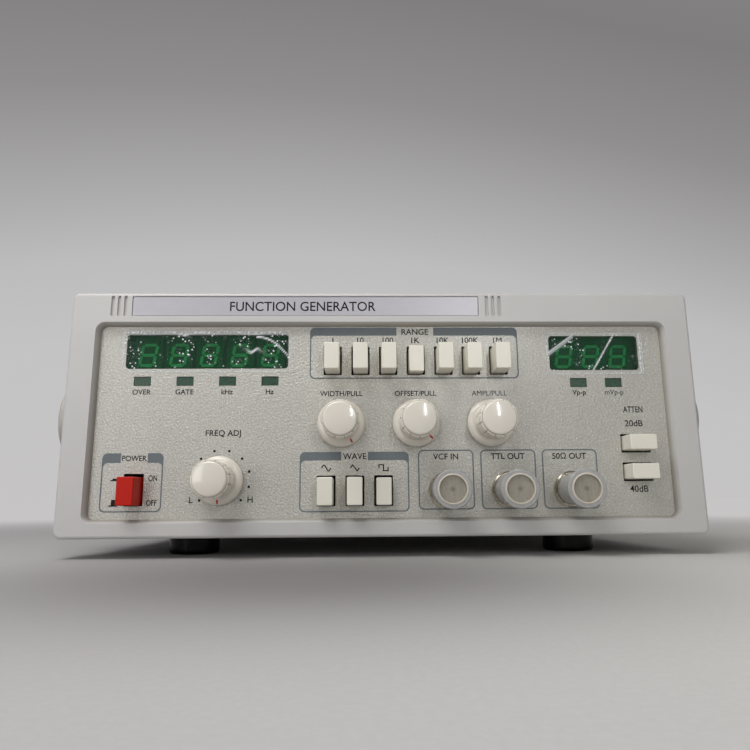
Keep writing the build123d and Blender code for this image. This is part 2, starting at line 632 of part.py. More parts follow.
with BuildPart() as top_cover:
    with BuildSketch(Plane.XZ.offset(-COVER_START)):
        with Locations((0, (COVER_TOP + COVER_LOW) / 2)):
            RectangleRounded(COVER_W, COVER_TOP - COVER_LOW, COVER_BEND_R)
            RectangleRounded(
                COVER_W - 2 * COVER_T,
                COVER_TOP - COVER_LOW - 2 * COVER_T,
                COVER_BEND_R - COVER_T,
                mode=Mode.SUBTRACT,
            )
        with Locations((0, COVER_LOW)):
            Rectangle(COVER_W, 8.0, mode=Mode.SUBTRACT)
    extrude(amount=-COVER_L)
    with BuildSketch(Plane.XY.offset(COVER_TOP)):
        with Locations((0, VENT_MID_Y)):
            with GridLocations(88.0, 0, 2, 1):
                with GridLocations(0, VENT_PITCH, 1, VENT_COUNT // 2 + 2):
                    SlotOverall(VENT_L * 1.8, VENT_W)
    extrude(amount=-COVER_T, mode=Mode.SUBTRACT)
    extrude(screw_holes(), amount=CASE_W, both=True, mode=Mode.SUBTRACT)
save(top_cover, "top_cover")

CHASSIS_W = COVER_W - 2 * COVER_T - 0.6
with BuildPart() as bottom_chassis:
    with BuildSketch(Plane.XZ.offset(-COVER_START)):
        with Locations((0, COVER_LOW + CHASSIS_FLANGE / 2)):
            Rectangle(CHASSIS_W, CHASSIS_FLANGE)
        with Locations((0, COVER_LOW + CHASSIS_T + CHASSIS_FLANGE / 2)):
            Rectangle(CHASSIS_W - 2 * CHASSIS_T, CHASSIS_FLANGE, mode=Mode.SUBTRACT)
    extrude(amount=-COVER_L)
    with BuildSketch(Plane.XY.offset(COVER_LOW)):
        with Locations(*FOOT_PLACES):
            Circle(SCREW_HOLE_R)
        with Locations((0, VENT_MID_Y)):
            with GridLocations(VENT_PITCH, 0, VENT_COUNT, 1):
                SlotOverall(VENT_L, VENT_W, rotation=90)
    extrude(amount=CHASSIS_T, mode=Mode.SUBTRACT)
    extrude(screw_holes(), amount=CASE_W, both=True, mode=Mode.SUBTRACT)
save(bottom_chassis, "bottom_chassis")

REAR_SCREWS = [
    (x, z) for x in (-REAR_SCREW_X, REAR_SCREW_X) for z in (REAR_SCREW_IN, CASE_H - REAR_SCREW_IN)
]
with BuildPart() as rear_frame:
    extrude(outline(REAR_Y, *FRAME_OUTLINE), amount=REAR_D)
    fillet(rear_frame.faces().sort_by(Axis.Y)[-1].edges(), FRAME_EDGE_R)
    extrude(
        outline(REAR_Y, CASE_W - 16, CASE_H - 16, CASE_H / 2, 3.0),
        amount=REAR_LIP,
        mode=Mode.SUBTRACT,
    )
    extrude(outline(REAR_PANEL_Y, *FRAME_INSIDE), amount=REAR_D, mode=Mode.SUBTRACT)
    for side in (-1, 1):
        for z in (REAR_BLOCK_MID, CASE_H - REAR_BLOCK_MID):
            with BuildSketch(facing_front(REAR_PANEL_Y - REAR_PANEL_T)):
                with Locations((side * (CASE_W / 2 - REAR_BLOCK_W / 2 - 2), z)):
                    Rectangle(REAR_BLOCK_W, REAR_BLOCK_H)
            extrude(amount=REAR_BLOCK_T)
    with BuildSketch(facing_front(REAR_PANEL_Y)):
        with Locations(*REAR_SCREWS):
            Circle(SCREW_HOLE_R)
    extrude(amount=REAR_PANEL_T + REAR_BLOCK_T, mode=Mode.SUBTRACT)
save(rear_frame, "rear_frame")

REAR_W = CASE_W - 2 * FRAME_WALL - 2 * SEAT_GAP
REAR_H = CASE_H - 2 * FRAME_WALL - 2 * SEAT_GAP
with BuildPart() as rear_panel:
    extrude(outline(REAR_PANEL_Y, REAR_W, REAR_H, CASE_H / 2, 1.2), amount=REAR_PANEL_T)
    with BuildSketch(facing_front(REAR_PANEL_Y)):
        with Locations((INLET_X, INLET_Z)):
            Rectangle(INLET_W - 3.4, INLET_H - 3.4)
        with Locations((-40, CASE_H / 2)):
            with GridLocations(VENT_PITCH, 0, VENT_COUNT, 1):
                SlotOverall(VENT_L * 1.4, VENT_W, rotation=90)
        with Locations(*REAR_SCREWS):
            Circle(SCREW_HOLE_R)
    extrude(amount=REAR_PANEL_T, mode=Mode.SUBTRACT)
save(rear_panel, "rear_panel")

with BuildPart() as feet:
    with BuildSketch(Plane.XY):
        with Locations(*FOOT_PLACES):
            Circle(FOOT_R)
    extrude(amount=COVER_LOW)
    fillet(feet.edges().group_by(Axis.Z)[0], FOOT_EDGE_R)
    with BuildSketch(Plane.XY):
        with Locations(*FOOT_PLACES):
            Circle(FOOT_BORE_R)
    extrude(amount=FOOT_BORE_L, mode=Mode.SUBTRACT)
    with BuildSketch(Plane.XY):
        with Locations(*FOOT_PLACES):
            Circle(SCREW_HOLE_R)
    extrude(amount=COVER_LOW, mode=Mode.SUBTRACT)
save(feet, "feet")

# ---------------------------------------------------------------- carrying handle
HANDLE_PLANE = Plane(
    origin=(0, PIVOT_Y, PIVOT_Z),
    x_dir=(1, 0, 0),
    z_dir=(0, -sin(radians(HANDLE_ANGLE)), cos(radians(HANDLE_ANGLE))),
)
HUB_SECTION = Plane(origin=(0, PIVOT_Y, PIVOT_Z), x_dir=(1, 0, 0), z_dir=(0, -1, 0))


def side_plane(x):
    """Plane square to the handle's axis, its normal to +X."""
    return Plane(origin=(x, PIVOT_Y, PIVOT_Z), x_dir=(0, 1, 0), z_dir=(1, 0, 0))


with BuildPart() as handle:
    with BuildSketch(HANDLE_PLANE.offset(-ARM_W / 2)):
        with Locations((0, (HANDLE_REACH + BAR_T / 2) / 2)):
            Rectangle(2 * ARM_OUT, HANDLE_REACH + BAR_T / 2)
        fillet(vertices().group_by(Axis.Y)[-1], HANDLE_BEND_R)
    extrude(amount=ARM_W)
    with BuildSketch(HANDLE_PLANE.offset(-ARM_W / 2)):
        with Locations((0, (HANDLE_REACH - BAR_T / 2) / 2)):
            Rectangle(2 * (ARM_OUT - ARM_T), HANDLE_REACH - BAR_T / 2)
        fillet(vertices().group_by(Axis.Y)[-1], HANDLE_BEND_R - ARM_T)
    extrude(amount=ARM_W, mode=Mode.SUBTRACT)
    fillet(handle.faces().filter_by(HANDLE_PLANE).edges(), ARM_EDGE_R)
    for side in (-1, 1):
        with BuildSketch(HUB_SECTION):
            with BuildLine():
                Polyline(
                    (side * (HUB_OUT - HUB_EDGE_R), HUB_R),
                    (side * HUB_IN, HUB_R),
                    (side * HUB_IN, 0),
                    (side * HUB_OUT, 0),
                    (side * HUB_OUT, HUB_R - HUB_EDGE_R),
                )
                RadiusArc(
                    (side * HUB_OUT, HUB_R - HUB_EDGE_R),
                    (side * (HUB_OUT - HUB_EDGE_R), HUB_R),
                    -side * HUB_EDGE_R,
                )
            make_face()
        revolve(axis=Axis((0, PIVOT_Y, PIVOT_Z), (1, 0, 0)))
        with BuildSketch(side_plane(side * HUB_IN)):
            Circle(PIVOT_PIN_R + SHAFT_GAP)
        extrude(amount=side * PIN_L, mode=Mode.SUBTRACT)
save(handle, "handle")

GRIP_SECTION = Plane(
    origin=(-GRIP_L / 2, PIVOT_Y, PIVOT_Z),
    x_dir=(0, cos(radians(HANDLE_ANGLE)), sin(radians(HANDLE_ANGLE))),
    z_dir=(1, 0, 0),
)
with BuildPart() as handle_grip:
    with BuildSketch(GRIP_SECTION):
        with Locations((HANDLE_REACH, 0)):
            RectangleRounded(GRIP_T, GRIP_W, GRIP_R)
            Rectangle(BAR_T + GRIP_FIT, ARM_W + GRIP_FIT, mode=Mode.SUBTRACT)
    extrude(amount=GRIP_L)
save(handle_grip, "handle_grip")

with BuildPart() as handle_pivots:
    for side in (-1, 1):
        with BuildSketch(side_plane(side * COVER_W / 2)):
            Circle(PIVOT_BOSS_R)
        extrude(amount=side * (HUB_IN - HUB_GAP - COVER_W / 2))
        with BuildSketch(side_plane(side * (HUB_IN - HUB_GAP))):
            Circle(PIVOT_PIN_R)
        extrude(amount=side * PIN_L)
save(handle_pivots, "handle_pivots")

# ---------------------------------------------------------------- mains inlet and fuse
INLET_FACE = REAR_PANEL_Y + INLET_EDGE


def rear_plane(y, x=INLET_X, z=INLET_Z):
    """Plane facing the back, x to the right as seen from the front."""
    return Plane(origin=(x, y, FOOT_DROP + z), x_dir=(1, 0, 0), z_dir=(0, -1, 0))


with BuildPart() as power_inlet:
    with BuildSketch(rear_plane(INLET_FACE)):
        RectangleRounded(INLET_W, INLET_H, 2.0)
    extrude(amount=INLET_EDGE)
    with BuildSketch(rear_plane(REAR_PANEL_Y)):
        Rectangle(INLET_W - 2 * INLET_RIM, INLET_H - 2 * INLET_RIM)
    extrude(amount=INLET_L)
    with BuildSketch(rear_plane(INLET_FACE)):
        with Locations((0, SOCKET_UP)):
            Polygon(
                (-SOCKET_W / 2, -SOCKET_H / 2),
                (SOCKET_W / 2, -SOCKET_H / 2),
                (SOCKET_W / 2, SOCKET_H / 2 - SOCKET_CUT),
                (SOCKET_W / 2 - SOCKET_CUT, SOCKET_H / 2),
                (-SOCKET_W / 2 + SOCKET_CUT, SOCKET_H / 2),
                (-SOCKET_W / 2, SOCKET_H / 2 - SOCKET_CUT),
                align=None,
            )
    extrude(amount=SOCKET_L, mode=Mode.SUBTRACT)
    with BuildSketch(rear_plane(INLET_FACE)):
        with Locations((0, -DRAWER_DOWN)):
            Rectangle(DRAWER_W + 2 * DRAWER_FIT, DRAWER_H + 2 * DRAWER_FIT)
    extrude(amount=DRAWER_L + 2 * DRAWER_FIT, mode=Mode.SUBTRACT)
    with BuildSketch(rear_plane(INLET_FACE - SOCKET_L)):
        with Locations(
            (-BLADE_X, SOCKET_UP - BLADE_H / 2),
            (BLADE_X, SOCKET_UP - BLADE_H / 2),
            (0, SOCKET_UP + BLADE_H / 2),
        ):
            Rectangle(BLADE_W, BLADE_H)
    extrude(amount=-(SOCKET_L - BLADE_SHORT))
save(power_inlet, "power_inlet")

with BuildPart() as fuse_drawer:
    with BuildSketch(rear_plane(INLET_FACE)):
        with Locations((0, -DRAWER_DOWN)):
            Rectangle(DRAWER_W, DRAWER_H)
    extrude(amount=DRAWER_L)
    with BuildSketch(rear_plane(INLET_FACE)):
        with Locations((0, -DRAWER_DOWN)):
            Rectangle(DRAWER_W - 2 * PULL_LIP, PULL_SLOT_H)
    extrude(amount=PULL_SLOT_DEEP, mode=Mode.SUBTRACT)
save(fuse_drawer, "fuse_drawer")

# ---------------------------------------------------------------- inside the case
CHASSIS_TOP = COVER_LOW + CHASSIS_T
BOARD_Z = CHASSIS_TOP + STANDOFF_H

with BuildPart() as transformer_core:
    with BuildSketch(Plane.XZ.offset(-(CORE_Y - CORE_T / 2))):
        with Locations((CORE_X, CHASSIS_TOP + CORE_H / 2)):
            Rectangle(CORE_W, CORE_H)
            with GridLocations(3 * LEG, 0, 2, 1):
                Rectangle(LEG, CORE_H - 2 * LEG, mode=Mode.SUBTRACT)
    extrude(amount=-CORE_T)
save(transformer_core, "transformer_core")

with BuildPart() as transformer_coil:
    with BuildSketch(Plane.XY.offset(CHASSIS_TOP + LEG + 0.3)):
        with Locations((CORE_X, CORE_Y)):
            RectangleRounded(4 * LEG - 0.6, CORE_T + 2 * LEG, 4.0)
            Rectangle(2 * LEG + 0.4, CORE_T + 0.4, mode=Mode.SUBTRACT)
    extrude(amount=CORE_H - 2 * LEG - 0.6)
save(transformer_coil, "transformer_coil")

STANDOFF_PLACES = [
    (BOARD_X + sx * (BOARD_W / 2 - STANDOFF_IN), BOARD_MID_Y + sy * (BOARD_L / 2 - STANDOFF_IN))
    for sx in (-1, 1)
    for sy in (-1, 1)
]
with BuildPart() as board_standoffs:
    with BuildSketch(Plane.XY.offset(CHASSIS_TOP)):
        with Locations(*STANDOFF_PLACES):
            RegularPolygon(STANDOFF_R, 6)
            Circle(STANDOFF_BORE_R, mode=Mode.SUBTRACT)
    extrude(amount=STANDOFF_H)
save(board_standoffs, "board_standoffs")

with BuildPart() as main_board:
    with BuildSketch(Plane.XY.offset(BOARD_Z)):
        with Locations((BOARD_X, BOARD_MID_Y)):
            Rectangle(BOARD_W, BOARD_L)
        with Locations(*STANDOFF_PLACES):
            Circle(SCREW_R, mode=Mode.SUBTRACT)
    extrude(amount=BOARD_T)
save(main_board, "main_board")

with BuildPart() as board_parts:
    with BuildSketch(Plane.XY.offset(BOARD_Z + BOARD_T)):
        with Locations((BOARD_X + CHIP_SHIFT, BOARD_MID_Y)):
            with GridLocations(CHIP_PITCH_X, CHIP_PITCH_Y, CHIP_COLUMNS, CHIP_ROWS):
                Rectangle(CHIP_W, CHIP_L)
    extrude(amount=CHIP_H)
    with BuildSketch(Plane.XY.offset(BOARD_Z + BOARD_T)):
        with Locations((BOARD_X + CAN_SHIFT, BOARD_MID_Y)):
            with GridLocations(0, CAN_PITCH, 1, 3):
                Circle(CAN_R)
    extrude(amount=CAN_H)
    with BuildSketch(Plane.XY.offset(BOARD_Z + BOARD_T)):
        with Locations((BOARD_X + SINK_PLACE[0], BOARD_MID_Y + SINK_PLACE[1])):
            Rectangle(SINK_W, SINK_L)
            with GridLocations(0, FIN_PITCH, 1, 5):
                Rectangle(FIN_GAP_W, FIN_GAP, mode=Mode.SUBTRACT)
    extrude(amount=SINK_H)
save(board_parts, "board_parts")


def screw(head, length):
    """Pan-head screw with a cross recess: head is the plane of the face that it sits on."""
    with BuildPart() as one:
        with BuildSketch(head):
            Circle(HEAD_R)
        extrude(amount=HEAD_T, taper=30)
        with BuildSketch(head):
            Circle(SCREW_R)
        extrude(amount=-length)
        with BuildSketch(head.offset(HEAD_T)):
            Rectangle(CROSS_L, CROSS_W)
            Rectangle(CROSS_W, CROSS_L)
        extrude(amount=-CROSS_DEEP, mode=Mode.SUBTRACT)
    return one.part


screw_list = [
    screw(Plane(origin=(side * COVER_W / 2, y, z), z_dir=(side, 0, 0)), SIDE_SCREW_L)
    for side in (-1, 1)
    for y, z in COVER_SCREWS
] + [
    screw(
        Plane(origin=(x, REAR_PANEL_Y, FOOT_DROP + z), x_dir=(1, 0, 0), z_dir=(0, 1, 0)),
        REAR_PANEL_T + REAR_BLOCK_T,
    )
    for x, z in REAR_SCREWS
] + [
    screw(
        Plane(origin=(x, y, FOOT_BORE_L), z_dir=(0, 0, -1)),
        CHASSIS_TOP + FOOT_SCREW_UP - FOOT_BORE_L,
    )
    for x, y in FOOT_PLACES
]
with BuildPart() as screws:
    add(screw_list)
save(screws, "screws")
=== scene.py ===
"""Bench function generator: materials, printing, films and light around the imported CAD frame."""

import json
import math

import bmesh
import bpy
from mathutils import Matrix, Vector, noise


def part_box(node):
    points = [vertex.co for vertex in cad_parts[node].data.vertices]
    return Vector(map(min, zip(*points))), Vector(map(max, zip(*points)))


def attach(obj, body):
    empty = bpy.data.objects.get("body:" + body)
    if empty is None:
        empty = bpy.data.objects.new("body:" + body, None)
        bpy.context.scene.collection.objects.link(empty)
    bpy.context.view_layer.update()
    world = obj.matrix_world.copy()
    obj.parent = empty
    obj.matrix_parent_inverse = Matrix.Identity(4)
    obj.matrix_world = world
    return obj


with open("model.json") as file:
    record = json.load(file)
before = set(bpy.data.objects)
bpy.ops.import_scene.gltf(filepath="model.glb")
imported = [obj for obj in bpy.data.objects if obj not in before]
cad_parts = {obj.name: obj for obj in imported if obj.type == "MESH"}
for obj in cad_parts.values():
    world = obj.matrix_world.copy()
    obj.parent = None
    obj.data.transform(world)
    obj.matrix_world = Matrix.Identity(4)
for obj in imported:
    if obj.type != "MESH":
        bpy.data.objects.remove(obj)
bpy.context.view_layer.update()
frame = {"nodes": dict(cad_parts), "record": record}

MM = 0.001
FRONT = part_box("front_bezel")[0].y          # the bezel's front face
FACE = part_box("front_panel")[0].y           # the panel's front face
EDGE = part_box("front_bezel")[0].z           # lower edge of the front frame


# ------------------------------------------------------------------ node helpers
def new_material(name, colour, roughness=0.5, **values):
    """A Principled material with its plain values set on the shader's own sockets."""
    m = bpy.data.materials.new(name)
    m.use_nodes = True
    shader = m.node_tree.nodes["Principled BSDF"]
    shader.inputs["Base Color"].default_value = (*colour, 1)
    shader.inputs["Roughness"].default_value = roughness
    for key, value in values.items():
        shader.inputs[key.replace("_", " ").title().replace("Ior", "IOR")].default_value = value
    return m


def node(m, kind, **inputs):
    n = m.node_tree.nodes.new(kind)
    for key, value in inputs.items():
        n.inputs[key.replace("_", " ").title()].default_value = value
    return n


def link(m, a, b):
    m.node_tree.links.new(a, b)


def shader_of(m):
    return m.node_tree.nodes["Principled BSDF"]


def coords(m):
    found = m.node_tree.nodes.get("coords")
    if found is None:
        found = m.node_tree.nodes.new("ShaderNodeTexCoord")
        found.name = "coords"
    return found.outputs["Object"]


def stretched(m, scale):
    """Object coordinates scaled by a different amount on each axis."""
    mapping = m.node_tree.nodes.new("ShaderNodeMapping")
    mapping.inputs["Scale"].default_value = scale
    link(m, coords(m), mapping.inputs["Vector"])
    return mapping.outputs["Vector"]


def noise_of(m, scale, detail=3.0, rough=0.5, vector=None):
    n = node(m, "ShaderNodeTexNoise", scale=scale, detail=detail, roughness=rough)
    link(m, vector or coords(m), n.inputs["Vector"])
    return n.outputs["Fac"]


def radius_of(m, location=(0, 0, 0), scale=(1, 1, 1)):
    """Distance from the origin, after the coordinates are scaled and shifted."""
    mapping = m.node_tree.nodes.new("ShaderNodeMapping")
    mapping.inputs["Location"].default_value = location
    mapping.inputs["Scale"].default_value = scale
    link(m, coords(m), mapping.inputs["Vector"])
    length = m.node_tree.nodes.new("ShaderNodeVectorMath")
    length.operation = "LENGTH"
    link(m, mapping.outputs["Vector"], length.inputs[0])
    return length.outputs["Value"]


def cells_of(m, scale, feature="F1", vector=None):
    n = m.node_tree.nodes.new("ShaderNodeTexVoronoi")
    n.feature = feature
    n.inputs["Scale"].default_value = scale
    link(m, vector or coords(m), n.inputs["Vector"])
    return n.outputs["Distance"]


def remap(m, value, low, high, to_low=0.0, to_high=1.0, smooth=False):
    n = m.node_tree.nodes.new("ShaderNodeMapRange")
    n.interpolation_type = "SMOOTHSTEP" if smooth else "LINEAR"
    for key, number in zip(("From Min", "From Max", "To Min", "To Max"), (low, high, to_low, to_high)):
        n.inputs[key].default_value = number
    link(m, value, n.inputs["Value"])
    return n.outputs["Result"]


def blend_colours(m, fac, a, b):
    """Two colours, each a tuple or a socket, mixed by a socket."""
    n = m.node_tree.nodes.new("ShaderNodeMix")
    n.data_type = "RGBA"
    link(m, fac, n.inputs["Factor"])
    for value, place in ((a, "A"), (b, "B")):
        socket = [s for s in n.inputs if s.name == place and s.type == "RGBA"][0]
        if isinstance(value, tuple):
            socket.default_value = (*value, 1)
        else:
            link(m, value, socket)
    return [s for s in n.outputs if s.type == "RGBA"][0]


def math_of(m, kind, a, b):
    n = m.node_tree.nodes.new("ShaderNodeMath")
    n.operation = kind
    for value, socket in ((a, n.inputs[0]), (b, n.inputs[1])):
        if isinstance(value, (int, float)):
            socket.default_value = value
        else:
            link(m, value, socket)
    return n.outputs[0]


def bump(m, height, strength, depth):
    """One more layer of bump, depth in metres."""
    layer = m.node_tree.nodes.new("ShaderNodeBump")
    layer.inputs["Strength"].default_value = strength
    layer.inputs["Distance"].default_value = depth
    link(m, height, layer.inputs["Height"])
    normal = shader_of(m).inputs["Normal"]
    if normal.is_linked:
        link(m, normal.links[0].from_socket, layer.inputs["Normal"])
    link(m, layer.outputs["Normal"], normal)
    return m


def colour_from(m, socket):
    link(m, socket, shader_of(m).inputs["Base Color"])
    return m


def roughness_from(m, socket):
    link(m, socket, shader_of(m).inputs["Roughness"])
    return m


def shade(colour, k):
    return tuple(min(1.0, c * k) for c in colour)


def srgb(r, g, b):
    """An sRGB colour, 0 to 255, as linear numbers."""
    return tuple(
        v / 12.92 if v <= 0.04045 else ((v + 0.055) / 1.055) ** 2.4
        for v in (c / 255 for c in (r, g, b))
    )


# ------------------------------------------------------------------ materials
JACKS = ("control_in", "logic_out", "signal_out")


def moulded(name, colour, roughness, grain=3200, grain_depth=0.00003, **values):
    """Moulded plastic: fine mould texture, slight clouding of colour and gloss."""
    m = new_material(name, colour, roughness, **values)
    cloud = noise_of(m, 38, 3)
    colour_from(m, blend_colours(m, cloud, shade(colour, 0.955), shade(colour, 1.035)))
    grains = noise_of(m, grain, 2)
    roughness_from(m, remap(m, grains, 0.3, 0.7, roughness - 0.05, roughness + 0.06))
    return bump(m, grains, 0.5, grain_depth)


def gloss_plastic(name, colour, roughness=0.16, **values):
    """Polished moulding: a slow ripple from sink marks, faint scuffs in the gloss."""
    m = new_material(name, colour, roughness, **values)
    cloud = noise_of(m, 60, 3)
    colour_from(m, blend_colours(m, cloud, shade(colour, 0.96), shade(colour, 1.03)))
    scuffs = noise_of(m, 1400, 4, 0.65)
    roughness_from(m, remap(m, scuffs, 0.35, 0.75, roughness - 0.04, roughness + 0.12))
    return bump(m, noise_of(m, 220, 2), 0.25, 0.00006)


def metal(name, colour, roughness, brushed=(900, 900, 900), depth=0.00001):
    m = new_material(name, colour, roughness, metallic=1.0)
    lines = noise_of(m, 1.0, 4, 0.6, stretched(m, brushed))
    roughness_from(m, remap(m, lines, 0.3, 0.7, roughness - 0.07, roughness + 0.1))
    colour_from(m, blend_colours(m, noise_of(m, 90, 3), shade(colour, 0.9), shade(colour, 1.05)))
    return bump(m, lines, 0.4, depth)


def streaked(m, scale, strength, depth):
    """Faint flow streaks along a moulding."""
    return bump(m, noise_of(m, 1.0, 3, 0.6, stretched(m, scale)), strength, depth)


def paint_recess_shade(m):
    """Painted shade and a painted olive reflection of the panel on the bezel's inner wall, growing as it
    drops from the front face to the panel.
    """
    split = m.node_tree.nodes.new("ShaderNodeSeparateXYZ")
    link(m, coords(m), split.inputs[0])
    inside = []
    for axis in "xz":
        low, high = (getattr(corner, axis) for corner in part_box("front_bezel"))
        panel_low, panel_high = (getattr(corner, axis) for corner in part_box("front_panel"))
        reach = ((high - low) + (panel_high - panel_low)) / 4
        from_centre = math_of(m, "SUBTRACT", split.outputs[axis.upper()], (low + high) / 2)
        inside.append(math_of(m, "LESS_THAN", math_of(m, "ABSOLUTE", from_centre, 0), reach))
    depth = remap(m, split.outputs["Y"], FRONT + 0.0003, FACE, 0, 1, True)
    # wall: mask of the painted shade, inside the recess and deepening towards the panel
    wall = math_of(m, "MULTIPLY", math_of(m, "MULTIPLY", *inside), depth)
    plain = shader_of(m).inputs["Base Color"].links[0].from_socket
    # painted shade: olive-grey stands in for the recess's shadow and the panel's reflected tint
    colour_from(m, blend_colours(m, wall, plain, srgb(150, 145, 134)))


def bezel_material():
    """Pale moulding with a light peel; painted shade darkens the wall round the recess."""
    m = moulded("bezel_abs", srgb(198, 196, 194), 0.42, grain=2600, grain_depth=0.00004)
    bump(m, noise_of(m, 620, 3), 0.18, 0.00005)
    paint_recess_shade(m)
    return m


def panel_material():
    """Grey paint with a fine orange peel; painted shade darkens its small pits and painted sparkle brightens
    its metallic flecks.
    """
    base = srgb(182, 180, 171)
    m = new_material("panel_paint", base, 0.36, metallic=0.38, coat_weight=0.6, coat_roughness=0.22)
    # painted sparkle: the metallic flecks are lightened in colour as if catching light
    painted_fleck_sparkle = remap(m, noise_of(m, 1500, 2, 0.6), 0.5, 0.64, smooth=True)
    dimples = noise_of(m, 1150, 3, 0.6, stretched(m, (1.0, 1.0, 1.1)))
    # painted shade: darker spots stand in for the shade in the peel's hollows
    painted_pit_shade = remap(m, dimples, 0.36, 0.5, 0.82, 1.0)
    cloud = blend_colours(m, painted_pit_shade, shade(base, 0.62), shade(base, 1.02))
    colour_from(m, blend_colours(m, painted_fleck_sparkle, cloud, srgb(206, 205, 198)))
    peel = noise_of(m, 1250, 2, 0.45)
    roughness_from(m, remap(m, peel, 0.3, 0.7, 0.28, 0.46))
    bump(m, peel, 1.0, 0.0004)
    return bump(m, noise_of(m, 3600, 2), 0.3, 0.00003)


def rubber_material():
    """Dark rubber covered with small dots."""
    m = new_material("grip_rubber", srgb(38, 38, 40), 0.7)
    roughness_from(m, remap(m, noise_of(m, 900), 0.3, 0.7, 0.6, 0.8))
    colour_from(m, blend_colours(m, noise_of(m, 40), srgb(33, 33, 35), srgb(46, 46, 48)))
    return bump(m, cells_of(m, 420), 0.6, 0.0002)


def cover_material():
    """Beige-grey powder coat with its wrinkle, for the sheet-steel covers."""
    m = new_material("powder_coat", srgb(186, 182, 172), 0.55)
    wrinkle = cells_of(m, 900, "SMOOTH_F1")
    colour_from(m, blend_colours(m, noise_of(m, 18, 4), srgb(180, 176, 166), srgb(191, 187, 178)))
    roughness_from(m, remap(m, wrinkle, 0.1, 0.6, 0.48, 0.66))
    return bump(m, wrinkle, 0.5, 0.0001)


def window_material():
    """Green filter sheet with a slow ripple."""
    m = new_material("window_green", srgb(0, 62, 32), 0.09, alpha=0.34, specular_ior_level=0.1)
    colour_from(m, blend_colours(m, noise_of(m, 45, 3), srgb(0, 52, 26), srgb(0, 74, 38)))
    roughness_from(m, remap(m, noise_of(m, 500, 4), 0.35, 0.7, 0.06, 0.16))
    return bump(m, noise_of(m, 90, 2), 0.15, 0.00004)


def segment_material():
    """Unlit green segment, a little cloudy."""
    m = new_material("segment_green", srgb(10, 214, 100), 0.5)
    colour_from(m, blend_colours(m, noise_of(m, 260, 3), srgb(4, 196, 88), srgb(16, 236, 118)))
    return bump(m, noise_of(m, 2600), 0.3, 0.00002)


def lamp_material():
    """Dull green lens over an unlit lamp."""
    m = moulded("lamp_lens", srgb(40, 72, 54), 0.3, grain=1500, grain_depth=0.00008)
    return colour_from(m, blend_colours(m, noise_of(m, 420, 3), srgb(22, 56, 38), srgb(58, 88, 70)))


def board_material():
    """Green circuit board with paler tracks."""
    m = new_material("circuit_board", srgb(26, 84, 52), 0.45)
    tracks = remap(m, cells_of(m, 260, "DISTANCE_TO_EDGE"), 0.03, 0.07, 1, 0)
    colour_from(m, blend_colours(m, tracks, srgb(22, 76, 46), srgb(56, 124, 78)))
    return bump(m, tracks, 0.4, 0.00004)


def tape_material():
    """Yellow tape wound round the coil."""
    m = new_material("coil_tape", srgb(196, 164, 60), 0.4)
    wraps = noise_of(m, 1.0, 3, 0.5, stretched(m, (60, 60, 1400)))
    colour_from(m, blend_colours(m, wraps, srgb(180, 146, 48), srgb(212, 182, 84)))
    return bump(m, wraps, 0.5, 0.0001)


def plate_material():
    """Satin foil, brushed along the nameplate."""
    m = new_material("nameplate_foil", srgb(186, 184, 190), 0.34, metallic=0.15)
    satin = noise_of(m, 1.0, 3, 0.5, stretched(m, (160, 900, 1500)))
    colour_from(m, blend_colours(m, satin, srgb(180, 178, 184), srgb(192, 190, 196)))
    return bump(m, satin, 0.2, 0.00002)


def ink_material(name, colour):
    """Printing ink that follows the panel's peel."""
    m = new_material(name, colour, 0.5, specular_ior_level=0.25)
    colour_from(m, blend_colours(m, noise_of(m, 2300, 3), shade(colour, 0.75), shade(colour, 1.3)))
    return bump(m, noise_of(m, 1250, 2, 0.45), 0.5, 0.00012)


def make_materials():
    ivory = moulded("ivory_cap", srgb(234, 230, 216), 0.34, grain=2400, grain_depth=0.00002)
    red = moulded("red_cap", srgb(190, 24, 2), 0.42, specular_ior_level=0.2, grain=2400, grain_depth=0.00002)
    made = {
        "bezel": bezel_material(),
        "panel": panel_material(),
        "ivory": streaked(ivory, (1500, 1500, 90), 0.2, 0.00003),
        "red": streaked(red, (1300, 1300, 120), 0.25, 0.00004),
        "knob": gloss_plastic("knob_ivory", srgb(228, 222, 210), 0.15, coat_weight=0.5, coat_roughness=0.05),
        "pointer": moulded("pointer_red", srgb(196, 34, 22), 0.4),
        "black": moulded("black_plastic", srgb(24, 24, 25), 0.45),
        "foot": gloss_plastic("foot_gloss", srgb(4, 4, 4), 0.14, specular_ior_level=0.15),
        "handle": moulded("handle_plastic", srgb(176, 173, 168), 0.45, grain=2000, grain_depth=0.00005),
        "rubber": rubber_material(),
        "cover": cover_material(),
        "steel": metal("zinc_steel", srgb(176, 178, 176), 0.38, (260, 2600, 260)),
        "nickel": metal("nickel_plate", srgb(196, 188, 172), 0.22, (300, 2400, 300)),
        "shaft": metal("shaft_alloy", srgb(186, 184, 178), 0.3, (400, 3600, 400)),
        "carriage": moulded("carriage_nylon", srgb(212, 208, 190), 0.5),
        "window": window_material(),
        "module": moulded("display_module", srgb(0, 100, 52), 0.5, specular_ior_level=0.05),
        "segment": segment_material(),
        "lamp": lamp_material(),
        "board": board_material(),
        "tape": tape_material(),
        "plate": plate_material(),
        "ink_black": ink_material("ink_black", srgb(12, 12, 14)),
        "ink_slate": ink_material("ink_slate", srgb(108, 115, 119)),
        "film": film_material(),
    }
    for name in JACKS:
        made[f"{name}_cap"] = cap_material(name)
    return made


